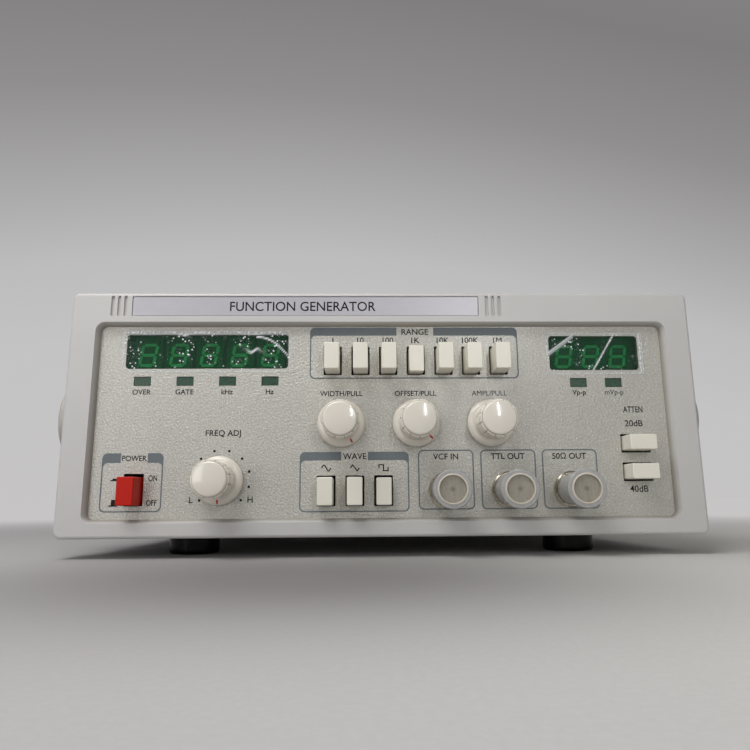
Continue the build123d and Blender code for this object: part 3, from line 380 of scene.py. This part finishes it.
def cap_material(name):
    """Milky soft plastic: thin over the jack in the middle, a bright bead, a cooler flange."""
    m = new_material(f"{name}_cap_poly", srgb(190, 189, 184), 0.3, coat_weight=0.5, coat_roughness=0.12)
    lo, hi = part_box(f"{name}_dust_cap")
    r = radius_of(m, (-(lo.x + hi.x) / 2, 0.0, -(lo.z + hi.z) / 2), (1.0, 0.0, 1.0))
    bands = noise_of(m, 1.0, 3, 0.55, stretched(m, (700, 120, 160)))
    dish = blend_colours(m, bands, srgb(150, 143, 128), srgb(178, 172, 158))
    dish = blend_colours(m, remap(m, r, 0.0, 0.0016, 1, 0, True), dish, srgb(128, 121, 106))
    outside = blend_colours(m, bands, srgb(170, 171, 172), srgb(198, 198, 197))
    colour = blend_colours(m, remap(m, r, 0.0053, 0.0057, 0, 1), dish, srgb(232, 224, 208))
    colour_from(m, blend_colours(m, remap(m, r, 0.0060, 0.0063, 0, 1), colour, outside))
    link(m, remap(m, r, 0.0058, 0.0064, 0.82, 0.62), shader_of(m).inputs["Alpha"])
    roughness_from(m, remap(m, noise_of(m, 1200, 3), 0.3, 0.7, 0.22, 0.42))
    return bump(m, bands, 0.35, 0.00012)


def film_material():
    """Clear protective film: nearly see-through, with painted glints making it white where it bubbles and
    creases and where its edges lift.
    """
    m = new_material("clear_film", srgb(238, 242, 244), 0.12, specular_ior_level=0.25)
    small = remap(m, cells_of(m, 620), 0.16, 0.3, 1, 0, True)
    patch = remap(m, noise_of(m, 130, 2), 0.48, 0.62, 0, 1, True)
    specks = remap(m, cells_of(m, 1300), 0.1, 0.2, 0.55, 0, True)
    # painted glints: bubbles, specks and smears are made white and opaque where they would catch light
    dots = math_of(m, "MULTIPLY", small, patch)
    smear = remap(m, noise_of(m, 170, 5, 0.7), 0.6, 0.8, 0, 0.35, True)
    both = math_of(m, "MAXIMUM", dots, math_of(m, "MAXIMUM", math_of(m, "MULTIPLY", specks, patch), smear))
    edge = m.node_tree.nodes.new("ShaderNodeAttribute")
    edge.attribute_name = "painted_glint"
    glint = math_of(m, "MAXIMUM", both, edge.outputs["Fac"])
    opacity = remap(m, glint, 0, 0.9, 0.02, 1.0)
    link(m, opacity, shader_of(m).inputs["Alpha"])
    roughness_from(m, remap(m, glint, 0, 1, 0.06, 0.3))
    bump(m, noise_of(m, 150, 4, 0.6), 0.8, 0.0006)
    return bump(m, small, 0.6, 0.0002)


MATERIALS = make_materials()
BODY_OF = {n: body for body, nodes in frame["record"]["behaviour"]["bodies"].items() for n in nodes}

NODE_LOOKS = {
    "bezel": ["front_bezel", "rear_frame"],
    "panel": ["front_panel"],
    "plate": ["nameplate"],
    "window": ["counter_window", "level_window"],
    "module": ["counter_digits", "level_digits"],
    "lamp": ["unit_lamps"],
    "board": ["display_boards", "main_board"],
    "red": ["power_button"],
    "black": ["power_inlet", "fuse_drawer", "board_parts", "range_switch_bank", "wave_switch_bank",
              "attenuator_switch_bank", "power_switch"],
    "shaft": ["frequency_shaft", "frequency_pot", "pull_pots"],
    "carriage": ["board_standoffs"],
    "nickel": ["bnc_jacks", "panel_nuts", "screws"],
    "cover": ["top_cover", "rear_panel"],
    "steel": ["bottom_chassis", "transformer_core"],
    "foot": ["feet"],
    "handle": ["handle", "handle_pivots"],
    "rubber": ["handle_grip"],
    "tape": ["transformer_coil"],
}
BY_ENDING = {"_knob": "knob", "_shaft": "shaft", "_carriage": "carriage"}


def look_of(name):
    for look, names in NODE_LOOKS.items():
        if name in names:
            return look
    if "_button_" in name:
        return "ivory"
    if name.endswith("_dust_cap"):
        return name.replace("_dust_cap", "_cap")
    return next(look for ending, look in BY_ENDING.items() if name.endswith(ending))


for name, part in frame["nodes"].items():
    part.data.materials.clear()
    part.data.materials.append(MATERIALS[look_of(name)])


# ------------------------------------------------------------------ shared mesh tools
def piece(name, mesh, look, body):
    o = bpy.data.objects.new(name, mesh)
    bpy.context.scene.collection.objects.link(o)
    mesh.materials.clear()
    mesh.materials.append(MATERIALS[look])
    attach(o, body)
    return o


def middle(name):
    """Centre of a CAD node, as x and height in millimetres above the frame's lower edge."""
    lo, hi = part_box(name)
    return (lo.x + hi.x) / 2 / MM, ((lo.z + hi.z) / 2 - EDGE) / MM


def at(x, z, out, y=FACE):
    """A point in front of a face, from millimetres."""
    return Vector((x * MM, y - out * MM, EDGE + z * MM))


INK_LOW, INK_HIGH = 0.006, 0.045            # a printed layer, in front of its face
CAPITALS = 0.729                            # height of the typeface's capitals at size 1


class Print:
    """Flat printed shapes on a front-facing surface, gathered into one mesh."""

    def __init__(self, y=FACE, back=False):
        self.bm = bmesh.new()
        self.y = y
        self.turn = -1 if back else 1

    def at(self, x, z, out):
        return Vector((self.turn * x * MM, self.y - self.turn * out * MM, EDGE + z * MM))

    def strip(self, left, right, closed=False):
        """A band between two lines with the same number of points, given as (x, z)."""
        rows = [
            [[self.bm.verts.new(self.at(x, z, out)) for x, z in line] for line in (left, right)]
            for out in (INK_LOW, INK_HIGH)
        ]
        (low_a, low_b), (high_a, high_b) = rows
        count = len(left)
        steps = [(i, (i + 1) % count) for i in range(count if closed else count - 1)]
        for i, j in steps:
            for quad in (
                (high_a[i], high_a[j], high_b[j], high_b[i]),
                (low_a[j], low_a[i], low_b[i], low_b[j]),
                (low_a[i], low_a[j], high_a[j], high_a[i]),
                (high_b[i], high_b[j], low_b[j], low_b[i]),
            ):
                self.bm.faces.new(quad)
        if not closed:
            for i in (0, count - 1):
                self.bm.faces.new((low_a[i], high_a[i], high_b[i], low_b[i]))

    def polygon(self, points):
        low, high = (
            [self.bm.verts.new(self.at(x, z, out)) for x, z in points] for out in (INK_LOW, INK_HIGH)
        )
        self.bm.faces.new(high)
        self.bm.faces.new(low[::-1])
        for i in range(len(points)):
            j = (i + 1) % len(points)
            self.bm.faces.new((low[i], low[j], high[j], high[i]))

    def dot(self, x, z, radius, count=20):
        turns = [2 * math.pi * i / count for i in range(count)]
        self.polygon([(x + radius * math.cos(t), z + radius * math.sin(t)) for t in turns])

    def line(self, points, width):
        """A stroke of even width along points, with mitred corners."""
        left, right = [], []
        for i, (x, z) in enumerate(points):
            before = Vector(points[max(i - 1, 0)])
            after = Vector(points[min(i + 1, len(points) - 1)])
            here = Vector((x, z))
            a = (here - before).normalized() if i else (after - here).normalized()
            b = (after - here).normalized() if i < len(points) - 1 else a
            side = Vector((-(a.y + b.y), a.x + b.x)).normalized()
            reach = width / 2 / max(0.35, side.dot(Vector((-a.y, a.x))))
            left.append(tuple(here + side * reach))
            right.append(tuple(here - side * reach))
        self.strip(left, right)

    def text(self, words, x, z, height, width=None, weight=0.035):
        """Lettering centred on x and z; height is of the capitals."""
        curve = bpy.data.curves.new("words", "FONT")
        curve.body = words
        curve.align_x = "CENTER"
        curve.size = height / CAPITALS
        curve.offset = 0.0 if "m" in words.lower() else weight      # thickening closes an M
        curve.resolution_u = 4
        o = bpy.data.objects.new("words", curve)
        bpy.context.scene.collection.objects.link(o)
        bpy.context.view_layer.update()
        mesh = bpy.data.meshes.new_from_object(o.evaluated_get(bpy.context.evaluated_depsgraph_get()))
        xs = [v.co.x for v in mesh.vertices]
        squeeze = 1.0 if width is None else width / (max(xs) - min(xs))
        flat = bmesh.new()
        flat.from_mesh(mesh)
        bmesh.ops.dissolve_limit(flat, angle_limit=0.01, verts=flat.verts, edges=flat.edges)
        for v in flat.verts:
            across = x + (v.co.x - (max(xs) + min(xs)) / 2) * squeeze
            v.co = self.at(across, z + v.co.y - height / 2, INK_HIGH)
        edge_glint = bmesh.ops.extrude_face_region(flat, geom=list(flat.faces))
        for v in (g for g in edge_glint["geom"] if isinstance(g, bmesh.types.BMVert)):
            v.co.y = self.y - self.turn * INK_LOW * MM
        bmesh.ops.recalc_face_normals(flat, faces=flat.faces)
        joined = bpy.data.meshes.new("joined")
        flat.to_mesh(joined)
        flat.free()
        self.bm.from_mesh(joined)
        bpy.data.meshes.remove(joined)
        bpy.data.objects.remove(o)
        bpy.data.meshes.remove(mesh)
        bpy.data.curves.remove(curve)

    def done(self, name, look, slot, body="case"):
        mesh = bpy.data.meshes.new(name)
        bmesh.ops.recalc_face_normals(self.bm, faces=self.bm.faces)
        self.bm.to_mesh(mesh)
        self.bm.free()
        return piece(name, mesh, look, body)


def rounded(x0, x1, z0, z1, radius, steps=6):
    """Rounded rectangle, from the top middle round to the right and back."""
    points = []
    for cx, cz, start in (
        (x1 - radius, z1 - radius, 90),
        (x1 - radius, z0 + radius, 0),
        (x0 + radius, z0 + radius, -90),
        (x0 + radius, z1 - radius, -180),
    ):
        for i in range(steps + 1):
            t = math.radians(start - 90 * i / steps)
            points.append((cx + radius * math.cos(t), cz + radius * math.sin(t)))
    return points


# ------------------------------------------------------------------ printing on the panel
STROKE = 0.55                               # width of the frames' lines
FRAME_R = 2.2
LABEL, UNIT_LABEL = 2.7, 2.3                # heights of capitals
TICKS, TICK_STEP, TICK_RING, TICK_R = 10, 30, 12.3, 0.55
slate, black = Print(), Print()


def plain_frame(x0, x1, z0, z1, radius=FRAME_R):
    slate.strip(
        rounded(x0, x1, z0, z1, radius),
        rounded(x0 + STROKE, x1 - STROKE, z0 + STROKE, z1 - STROKE, radius - STROKE),
        closed=True,
    )


def titled_frame(x0, x1, z0, z1, header, gap, radius=FRAME_R):
    """Frame with a filled header, left open between the two ends of the gap."""
    outer = rounded(x0, x1, z0, z1, radius)
    inner = rounded(x0 + STROKE, x1 - STROKE, z0 + STROKE, header, radius - 0.3)
    slate.strip(
        [(gap[1], z1)] + outer + [(gap[0], z1)],
        [(gap[1], header)] + inner + [(gap[0], header)],
    )


def button_icon(x, z, rise):
    """A bar on the panel with a button cap standing out of it."""
    base, half_bar, half_cap = z + 0.5, 1.7, 0.9
    black.polygon([
        (x - half_bar, z), (x + half_bar, z), (x + half_bar, base), (x + half_cap, base),
        (x + half_cap, base + rise), (x - half_cap, base + rise), (x - half_cap, base), (x - half_bar, base),
    ])


ranges = [middle(f"range_button_{n}") for n in ("1", "10", "100", "1k", "10k", "100k", "1m")]
waves = [middle(f"wave_button_{n}") for n in ("sine", "triangle", "square")]
first, last, tall = ranges[0][0], ranges[-1][0], ranges[0][1]
titled_frame(first - 10.1, last + 8.9, tall - 8.1, tall + 15.1, tall + 11.4, (first + 28.2, first + 44.6))
black.text("RANGE", first + 36.4, tall + 13.2, LABEL)
for (x, z), words in zip(ranges, ("1", "10", "100", "1K", "10K", "100K", "1M")):
    black.text(words, x, z + 9.3, LABEL)

first, last, tall = waves[0][0], waves[-1][0], waves[0][1]
titled_frame(first - 11.3, last + 10.9, tall - 8.5, tall + 16.7, tall + 13.1, (first + 6.4, first + 17.7))
black.text("WAVE", first + 12.1, tall + 14.9, 2.6)
ICON, SWING = 1.95, 1.25
curves = (
    [(-ICON + 2 * ICON * i / 24, SWING * math.sin(2 * math.pi * i / 24)) for i in range(25)],
    [(-ICON, 0), (-ICON / 2, SWING), (ICON / 2, -SWING), (ICON, 0)],
    [(-ICON, -0.2), (-ICON, SWING), (0, SWING), (0, -SWING), (ICON, -SWING), (ICON, 0.2)],
)
for (x, z), curve in zip(waves, curves):
    black.line([(x + u, z + 9.9 + v) for u, v in curve], 0.5)

x, z = middle("power_button")
titled_frame(x - 13.7, x + 12.1, z - 8.6, z + 16.0, z + 11.9, (x - 5.9, x + 5.4))
black.text("POWER", x - 0.2, z + 13.9, UNIT_LABEL, 10.4)
black.text("ON", x + 8.0, z + 5.6, 2.5, 3.6)
black.text("OFF", x + 8.0, z - 4.7, 2.4, 4.4)
button_icon(x - 7.9, z + 4.3, 0.6)
button_icon(x - 7.9, z - 6.2, 2.3)

for name, words in (("control_in", "VCF IN"), ("logic_out", "TTL OUT"), ("signal_out", "50Ω OUT")):
    x, z = middle(f"{name}_dust_cap")
    plain_frame(x - 11.9, x + 12.0, z - 8.2, z + 17.0)
    black.text(words, x, z + 14.2, 2.6)

x, z = middle("attenuator_button_20db")
black.text("ATTEN", x, z + 14.9, LABEL, 8.6)
black.text("20dB", x - 0.1, z + 8.8, 2.8)
x, z = middle("attenuator_button_40db")
black.text("40dB", x - 0.1, z - 7.1, 2.8)

x, z = middle("frequency_knob")
black.text("FREQ ADJ", x + 0.9, z + 20.2, 2.6)
for i in range(TICKS):
    turn = math.radians(TICK_STEP * (i - (TICKS - 1) / 2))
    black.dot(x + 0.6 + TICK_RING * math.sin(turn), z + 0.5 + TICK_RING * math.cos(turn), TICK_R)
black.text("L", x - 11.6, z - 7.9, LABEL)
black.text("H", x + 13.2, z - 7.9, LABEL)

for name, words in (("pulse", "WIDTH/PULL"), ("offset", "OFFSET/PULL"), ("amplitude", "AMPL/PULL")):
    x, z = middle(f"{name}_knob")
    black.text(words, x, z + 13.2, UNIT_LABEL)

counter_x, counter_z = middle("counter_window")
level_x, level_z = middle("level_window")
for i, words in enumerate(("OVER", "GATE", "kHz", "Hz")):
    black.text(words, counter_x - 27.7 + 18.43 * i, counter_z - 17.9, UNIT_LABEL)
for i, words in enumerate(("Vp-p", "mVp-p")):
    black.text(words, level_x - 7.6 + 15.5 * i, level_z - 17.6, UNIT_LABEL)

slate.done("panel_frames", "ink_slate", "panel_paint")
black.done("panel_legends", "ink_black", "panel_paint")

badge = Print(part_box("nameplate")[0].y)
badge_x, badge_z = middle("nameplate")
badge.text("FUNCTION GENERATOR", badge_x - 1.5, badge_z, 4.4, 64.0)
badge.done("nameplate_lettering", "ink_black", "nameplate_print")

rear = Print(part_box("rear_panel")[1].y, back=True)
x, z = middle("power_inlet")
rear.text("AC INPUT", -x, z + 23.5, 3.0)
rear.text("FUSE", -x, z - 22.8, 3.0)
rear.done("rear_legends", "ink_black", "panel_paint")

# ------------------------------------------------------------------ digits behind the windows
SEG_W, SEG_H, SEG_T = 7.5, 10.6, 1.35       # a digit's width and height, and a bar's thickness
SEG_GAP = 0.15                              # from a bar's point to the corner of its digit
SEG_LEAN = math.tan(math.radians(9))
SEG_DROP = 0.8                              # digits sit this far below the window's middle


def segment_bar(sheet, cx, cz, x, z, length, upright):
    """One bar with pointed ends, centred on x and z of its digit and leaning with it."""
    half, t = length / 2 - SEG_GAP, SEG_T / 2
    bar = [(-half, 0), (-half + t, t), (half - t, t), (half, 0), (half - t, -t), (-half + t, -t)]
    if upright:
        bar = [(v, u) for u, v in bar]
    sheet.polygon([(cx + x + u + SEG_LEAN * (z + v), cz + z + v) for u, v in bar])


def seven_segments(node_name, window, count, pitch):
    sheet = Print(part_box(node_name)[0].y)
    x, z = middle(window)
    reach, tall = SEG_W / 2 - SEG_T / 2, SEG_H / 2 - SEG_T / 2
    for i in range(count):
        cx, cz = x + (i - (count - 1) / 2) * pitch, z - SEG_DROP
        for level in (-tall, 0, tall):
            segment_bar(sheet, cx, cz, 0, level, 2 * reach, False)
        for side in (-reach, reach):
            for level in (-tall / 2, tall / 2):
                segment_bar(sheet, cx, cz, side, level, tall, True)
    sheet.done(f"{node_name}_segments", "segment", "display_module")


seven_segments("counter_digits", "counter_window", 5, 13.5)
seven_segments("level_digits", "level_window", 3, 12.2)


# ------------------------------------------------------------------ red lines on the knobs
# Radius and height of the paint's top, from the crown's foot out over the skirt's edge.
LINE_TOP = ((7.98, 3.28), (8.3, 3.14), (8.9, 2.93), (9.5, 2.62), (9.85, 2.25), (10.15, 1.86))
LINE_FLOOR = 2.42        # the groove's floor, in front of the panel
LINE_HALF = 0.36


def pointer_line(knob, clockwise, body):
    """Paint filling a knob's pointer groove, down over the edge of its skirt."""
    cx, cz = middle(knob)
    turn = math.radians(clockwise)
    along = Vector((math.sin(turn), math.cos(turn)))
    across = Vector((along.y, -along.x))
    bm = bmesh.new()
    rows = []
    for r, top in LINE_TOP:
        floor = min(LINE_FLOOR, top - 0.1)
        spots = ((-LINE_HALF, floor), (-LINE_HALF, top), (LINE_HALF, top), (LINE_HALF, floor))
        rows.append([
            bm.verts.new(at(cx + along.x * r + across.x * w, cz + along.y * r + across.y * w, out))
            for w, out in spots
        ])
    for a, b in zip(rows, rows[1:]):
        for i in range(4):
            j = (i + 1) % 4
            bm.faces.new((a[i], a[j], b[j], b[i]))
    bm.faces.new(rows[0])
    bm.faces.new(rows[-1][::-1])
    bmesh.ops.recalc_face_normals(bm, faces=bm.faces)
    mesh = bpy.data.meshes.new(f"{knob}_line")
    bm.to_mesh(mesh)
    bm.free()
    piece(f"{knob}_line", mesh, "pointer", body)


for knob, clockwise in (("frequency", 180), ("pulse", 150), ("offset", 135), ("amplitude", 60)):
    pointer_line(f"{knob}_knob", clockwise, BODY_OF[f"{knob}_knob"])


# ------------------------------------------------------------------ jack insulators
INSULATOR_R, CONTACT_R = 3.95, 0.85
INSULATOR_OUT = 2.6                         # its face, in front of the panel
TURNS = [2 * math.pi * i / 40 for i in range(40)]
insulators = Print(FACE - INSULATOR_OUT * MM)
for name in JACKS:
    x, z = middle(f"{name}_dust_cap")
    rings = [[(x + r * math.cos(t), z + r * math.sin(t)) for t in TURNS] for r in (INSULATOR_R, CONTACT_R)]
    insulators.strip(*rings, closed=True)
insulators.done("jack_insulators", "carriage", "carriage_plastic")


# ------------------------------------------------------------------ films over the windows
FILM_GAP = 0.06                             # least distance in front of the panel


def ridge(d, width):
    """A smooth hump of this width, 1 in its middle."""
    return math.exp(-(d / width) ** 2)


def film(name, x0, x1, z0, z1, creases, seed, columns=110):
    """Thin clear sheet, its edges lifted and crumpled; creases give height and a painted glint at u, v in
    mm, and the lifted edges a painted glint too.
    """
    wide, tall = x1 - x0, z1 - z0
    rows = max(8, round(columns * tall / wide))
    bm = bmesh.new()
    painted_glint = bm.verts.layers.float.new("painted_glint")
    grid = []
    for j in range(rows + 1):
        line = []
        for i in range(columns + 1):
            u, v = wide * i / columns, tall * j / rows
            wave = noise.noise(Vector((u * 0.32, v * 0.32, seed)))
            rough = noise.noise(Vector((u * 1.3, v * 1.3, seed + 9)))
            edge = min(u, wide - u, v, tall - v)
            lift, glint = creases(u, v, wide, tall, rough)
            # painted glint along the lifted, crumpled edge
            edge_glint = ridge(edge, 0.5) * (0.58 + 0.55 * noise.noise(Vector((u * 0.7, v * 0.7, seed + 4))))
            out = 0.16 + 0.05 * wave + 0.03 * rough + 0.32 * lift + 0.1 * ridge(edge, 0.8) * (rough + 0.4)
            pull = 0.16 * ridge(edge, 0.5) * rough
            inward = pull if u < wide / 2 else -pull
            spot = bm.verts.new(at(x0 + u + inward, z0 + v - pull * 0.5, max(FILM_GAP, out)))
            spot[painted_glint] = max(0.0, min(1.0, max(edge_glint, glint)))
            line.append(spot)
        grid.append(line)
    for a, b in zip(grid, grid[1:]):
        for i in range(columns):
            bm.faces.new((a[i], a[i + 1], b[i + 1], b[i])).smooth = True
    mesh = bpy.data.meshes.new(name)
    bm.to_mesh(mesh)
    bm.free()
    piece(name, mesh, "film", "case")


def counter_creases(u, v, wide, tall, rough):
    """A wavy fold along the top, painted bright as a glint, curling down at the right, and a few short
    squiggles.
    """
    top = tall - 0.95 + 0.14 * math.sin(u * 0.42) + 0.35 * rough
    fold = ridge(v - top, 0.5) * (0.62 + 1.1 * rough + 0.22 * math.sin(u * 0.23 + 0.8))
    curl_v = tall - 2.6 - 0.026 * (u - (wide - 15)) ** 2.2 if u > wide - 15 else 99
    curl = ridge(v - curl_v, 0.34)
    squiggle = ridge(v - (tall * 0.52 + 0.8 * math.sin(u * 1.1)), 0.55) * ridge(u - wide * 0.78, 2.8)
    stripe = ridge(v - (tall - 1.2 - 0.3 * (u - 24)), 0.35) * ridge(u - 25.5, 2.2)
    glint = max(fold, curl, 0.9 * squiggle, stripe)
    return glint, glint


def level_creases(u, v, wide, tall, rough):
    """A diagonal fold, a peeled corner at the top left and a torn edge at the right, each lifted and painted
    bright as a glint.
    """
    diagonal = ridge((u - 20.6) - (v - 2) * 0.62 - 0.35 * rough, 0.38) * (0.75 + 0.5 * rough)
    slope = (v - tall + 1) - (u - 11.5) * 0.72
    peel = (0.45 * ridge(slope + 0.9, 0.9) + 0.5 * ridge(slope, 0.3)) * (1.0 if u < 12.5 else 0.0)
    torn = ridge(wide - u - 1.2, 0.5) * (0.6 + 0.8 * rough)
    glint = max(diagonal, peel, torn)
    return glint, glint


def window_film(name, window, margins, creases, seed):
    """Film over a window; margins are past its CAD box on the left, right, low and high sides."""
    lo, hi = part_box(window)
    left, right, low, high = margins
    film(name, lo.x / MM - left, hi.x / MM + right, (lo.z - EDGE) / MM - low, (hi.z - EDGE) / MM + high,
         creases, seed)


window_film("counter_film", "counter_window", (-0.7, -1.3, -0.5, -0.6), counter_creases, 3)
window_film("level_film", "level_window", (-0.9, 0.1, -0.3, -0.8), level_creases, 8)


# ------------------------------------------------------------------ stage, light and camera
def area_light(name, place, target, size, power):
    data = bpy.data.lights.new(name, "AREA")
    data.shape = "RECTANGLE"
    data.size, data.size_y = size
    data.energy = power
    o = bpy.data.objects.new(name, data)
    bpy.context.scene.collection.objects.link(o)
    o.location = place
    o.rotation_euler = (Vector(target) - Vector(place)).to_track_quat("-Z", "Y").to_euler()


HORIZON = srgb(198, 196, 196)


FLOOR_RADIUS = 40
FLOOR_FADE = (0.18, 0.75)                   # the floor passes into the backdrop between these radii


def floor_material():
    """Pale paper: painted light makes it brighter to the right, a painted shadow darkens a soft patch in
    front, lost in the backdrop far away.
    """
    m = new_material("floor_paper", srgb(178, 176, 175), 0.9)
    split = m.node_tree.nodes.new("ShaderNodeSeparateXYZ")
    link(m, coords(m), split.inputs[0])
    # painted light: the paper is made brighter towards the right
    across = remap(m, split.outputs["X"], -0.12, 0.16, 0, 1, True)
    side = blend_colours(m, across, srgb(182, 179, 179), srgb(212, 211, 206))
    painted_light_speckled = blend_colours(m, remap(m, noise_of(m, 700, 3), 0.3, 0.7, 0, 0.12), side, srgb(150, 148, 147))
    # painted shadow: a soft dark patch on the paper in front of the case
    painted_shadow = remap(m, radius_of(m, (0.2, 1.45, 0.0), (6.6, 8.6, 1.0)), 0.1, 1.1, 1, 0, True)
    colour_from(m, blend_colours(m, painted_shadow, painted_light_speckled, srgb(128, 125, 124)))
    nodes = m.node_tree.nodes
    glow = nodes.new("ShaderNodeEmission")
    glow.inputs["Color"].default_value = (*HORIZON, 1)
    mixed = nodes.new("ShaderNodeMixShader")
    link(m, remap(m, radius_of(m), *FLOOR_FADE, 0, 1, True), mixed.inputs["Fac"])
    link(m, shader_of(m).outputs["BSDF"], mixed.inputs[1])
    link(m, glow.outputs["Emission"], mixed.inputs[2])
    link(m, mixed.outputs["Shader"], nodes["Material Output"].inputs["Surface"])
    return m


def make_stage():
    bm = bmesh.new()
    bmesh.ops.create_circle(bm, cap_ends=True, radius=FLOOR_RADIUS, segments=96)
    mesh = bpy.data.meshes.new("floor")
    bm.to_mesh(mesh)
    bm.free()
    mesh.materials.append(floor_material())
    floor = bpy.data.objects.new("floor", mesh)
    bpy.context.scene.collection.objects.link(floor)


WALL = (                                    # height in the backdrop and its colour there
    (0.0, HORIZON),
    (0.26, srgb(196, 195, 196)),
    (0.37, srgb(189, 188, 189)),
    (0.57, srgb(144, 142, 143)),
    (0.68, srgb(127, 125, 126)),
    (1.0, srgb(150, 150, 150)),
)


def make_world():
    """Pale wall that darkens upwards and to the sides, and a darker room on the camera's side."""
    world = bpy.data.worlds.new("studio")
    bpy.context.scene.world = world
    world.use_nodes = True
    nodes = world.node_tree.nodes
    where = nodes.new("ShaderNodeTexCoord")
    split = nodes.new("ShaderNodeSeparateXYZ")
    link(world, where.outputs["Generated"], split.inputs["Vector"])
    across, away, up = (split.outputs[axis] for axis in "XYZ")
    bow = math_of(world, "MULTIPLY", math_of(world, "MULTIPLY", across, across), 0.42)
    tilt = math_of(world, "MULTIPLY", across, 0.08)
    height = math_of(world, "ADD", math_of(world, "ADD", bow, tilt), up)
    ramp = nodes.new("ShaderNodeValToRGB")
    link(world, height, ramp.inputs["Fac"])
    link(world, ramp.outputs["Color"], nodes["Background"].inputs["Color"])
    elements = ramp.color_ramp.elements
    for element, (position, colour) in zip(elements, (WALL[0], WALL[-1])):
        element.position = position
        element.color = (*colour, 1)
    for position, colour in WALL[1:-1]:
        elements.new(position).color = (*colour, 1)
    behind = remap(world, away, -0.3, 0.3, 0.4, 1.0)
    low_down = remap(world, up, 0.0, 0.3, 1.0, 0.4)
    link(world, math_of(world, "MAXIMUM", behind, low_down), nodes["Background"].inputs["Strength"])


LENS, SENSOR = 30.5, 36.0                   # mm
VIEW_ANGLES = (1.33, 11.17, 0.40)           # yaw, pitch and roll, in degrees
VIEW_PLACE = (-9.9, 14.8, 269.6)            # across, above the frame's edge and out from it, mm


def make_camera():
    data = bpy.data.cameras.new("camera")
    data.lens = LENS
    data.sensor_width = SENSOR
    data.clip_start, data.clip_end = 0.01, 100
    o = bpy.data.objects.new("camera", data)
    bpy.context.scene.collection.objects.link(o)
    yaw, pitch, roll = (math.radians(v) for v in VIEW_ANGLES)
    level = Vector((math.sin(yaw), math.cos(yaw), 0))
    right = Vector((math.cos(yaw), -math.sin(yaw), 0))
    up = Vector((0, 0, 1))
    forward = level * math.cos(pitch) + up * math.sin(pitch)
    upward = up * math.cos(pitch) - level * math.sin(pitch)
    x_axis = right * math.cos(roll) - upward * math.sin(roll)
    y_axis = right * math.sin(roll) + upward * math.cos(roll)
    place = at(*VIEW_PLACE, FRONT)
    turn = Matrix((x_axis, y_axis, -forward)).transposed().to_4x4()
    o.matrix_world = Matrix.Translation(place) @ turn
    bpy.context.scene.camera = o


make_stage()
make_world()
make_camera()
AIM = (0, FRONT, 0.05)
area_light("softbox_above", (-0.20, -0.35, 0.49), AIM, (0.40, 0.24), 1.95)
area_light("window_left", (-0.50, -0.84, 0.18), AIM, (0.22, 0.40), 0.9)
area_light("strip_right", (0.20, -0.88, 0.32), AIM, (0.04, 0.26), 0.8)
area_light("top_fill", (-0.12, 0.25, 1.1), (0, 0.05, 0), (1.0, 0.6), 2.0)

scene = bpy.context.scene
scene.view_settings.view_transform = "Standard"
scene.view_settings.look = "None"
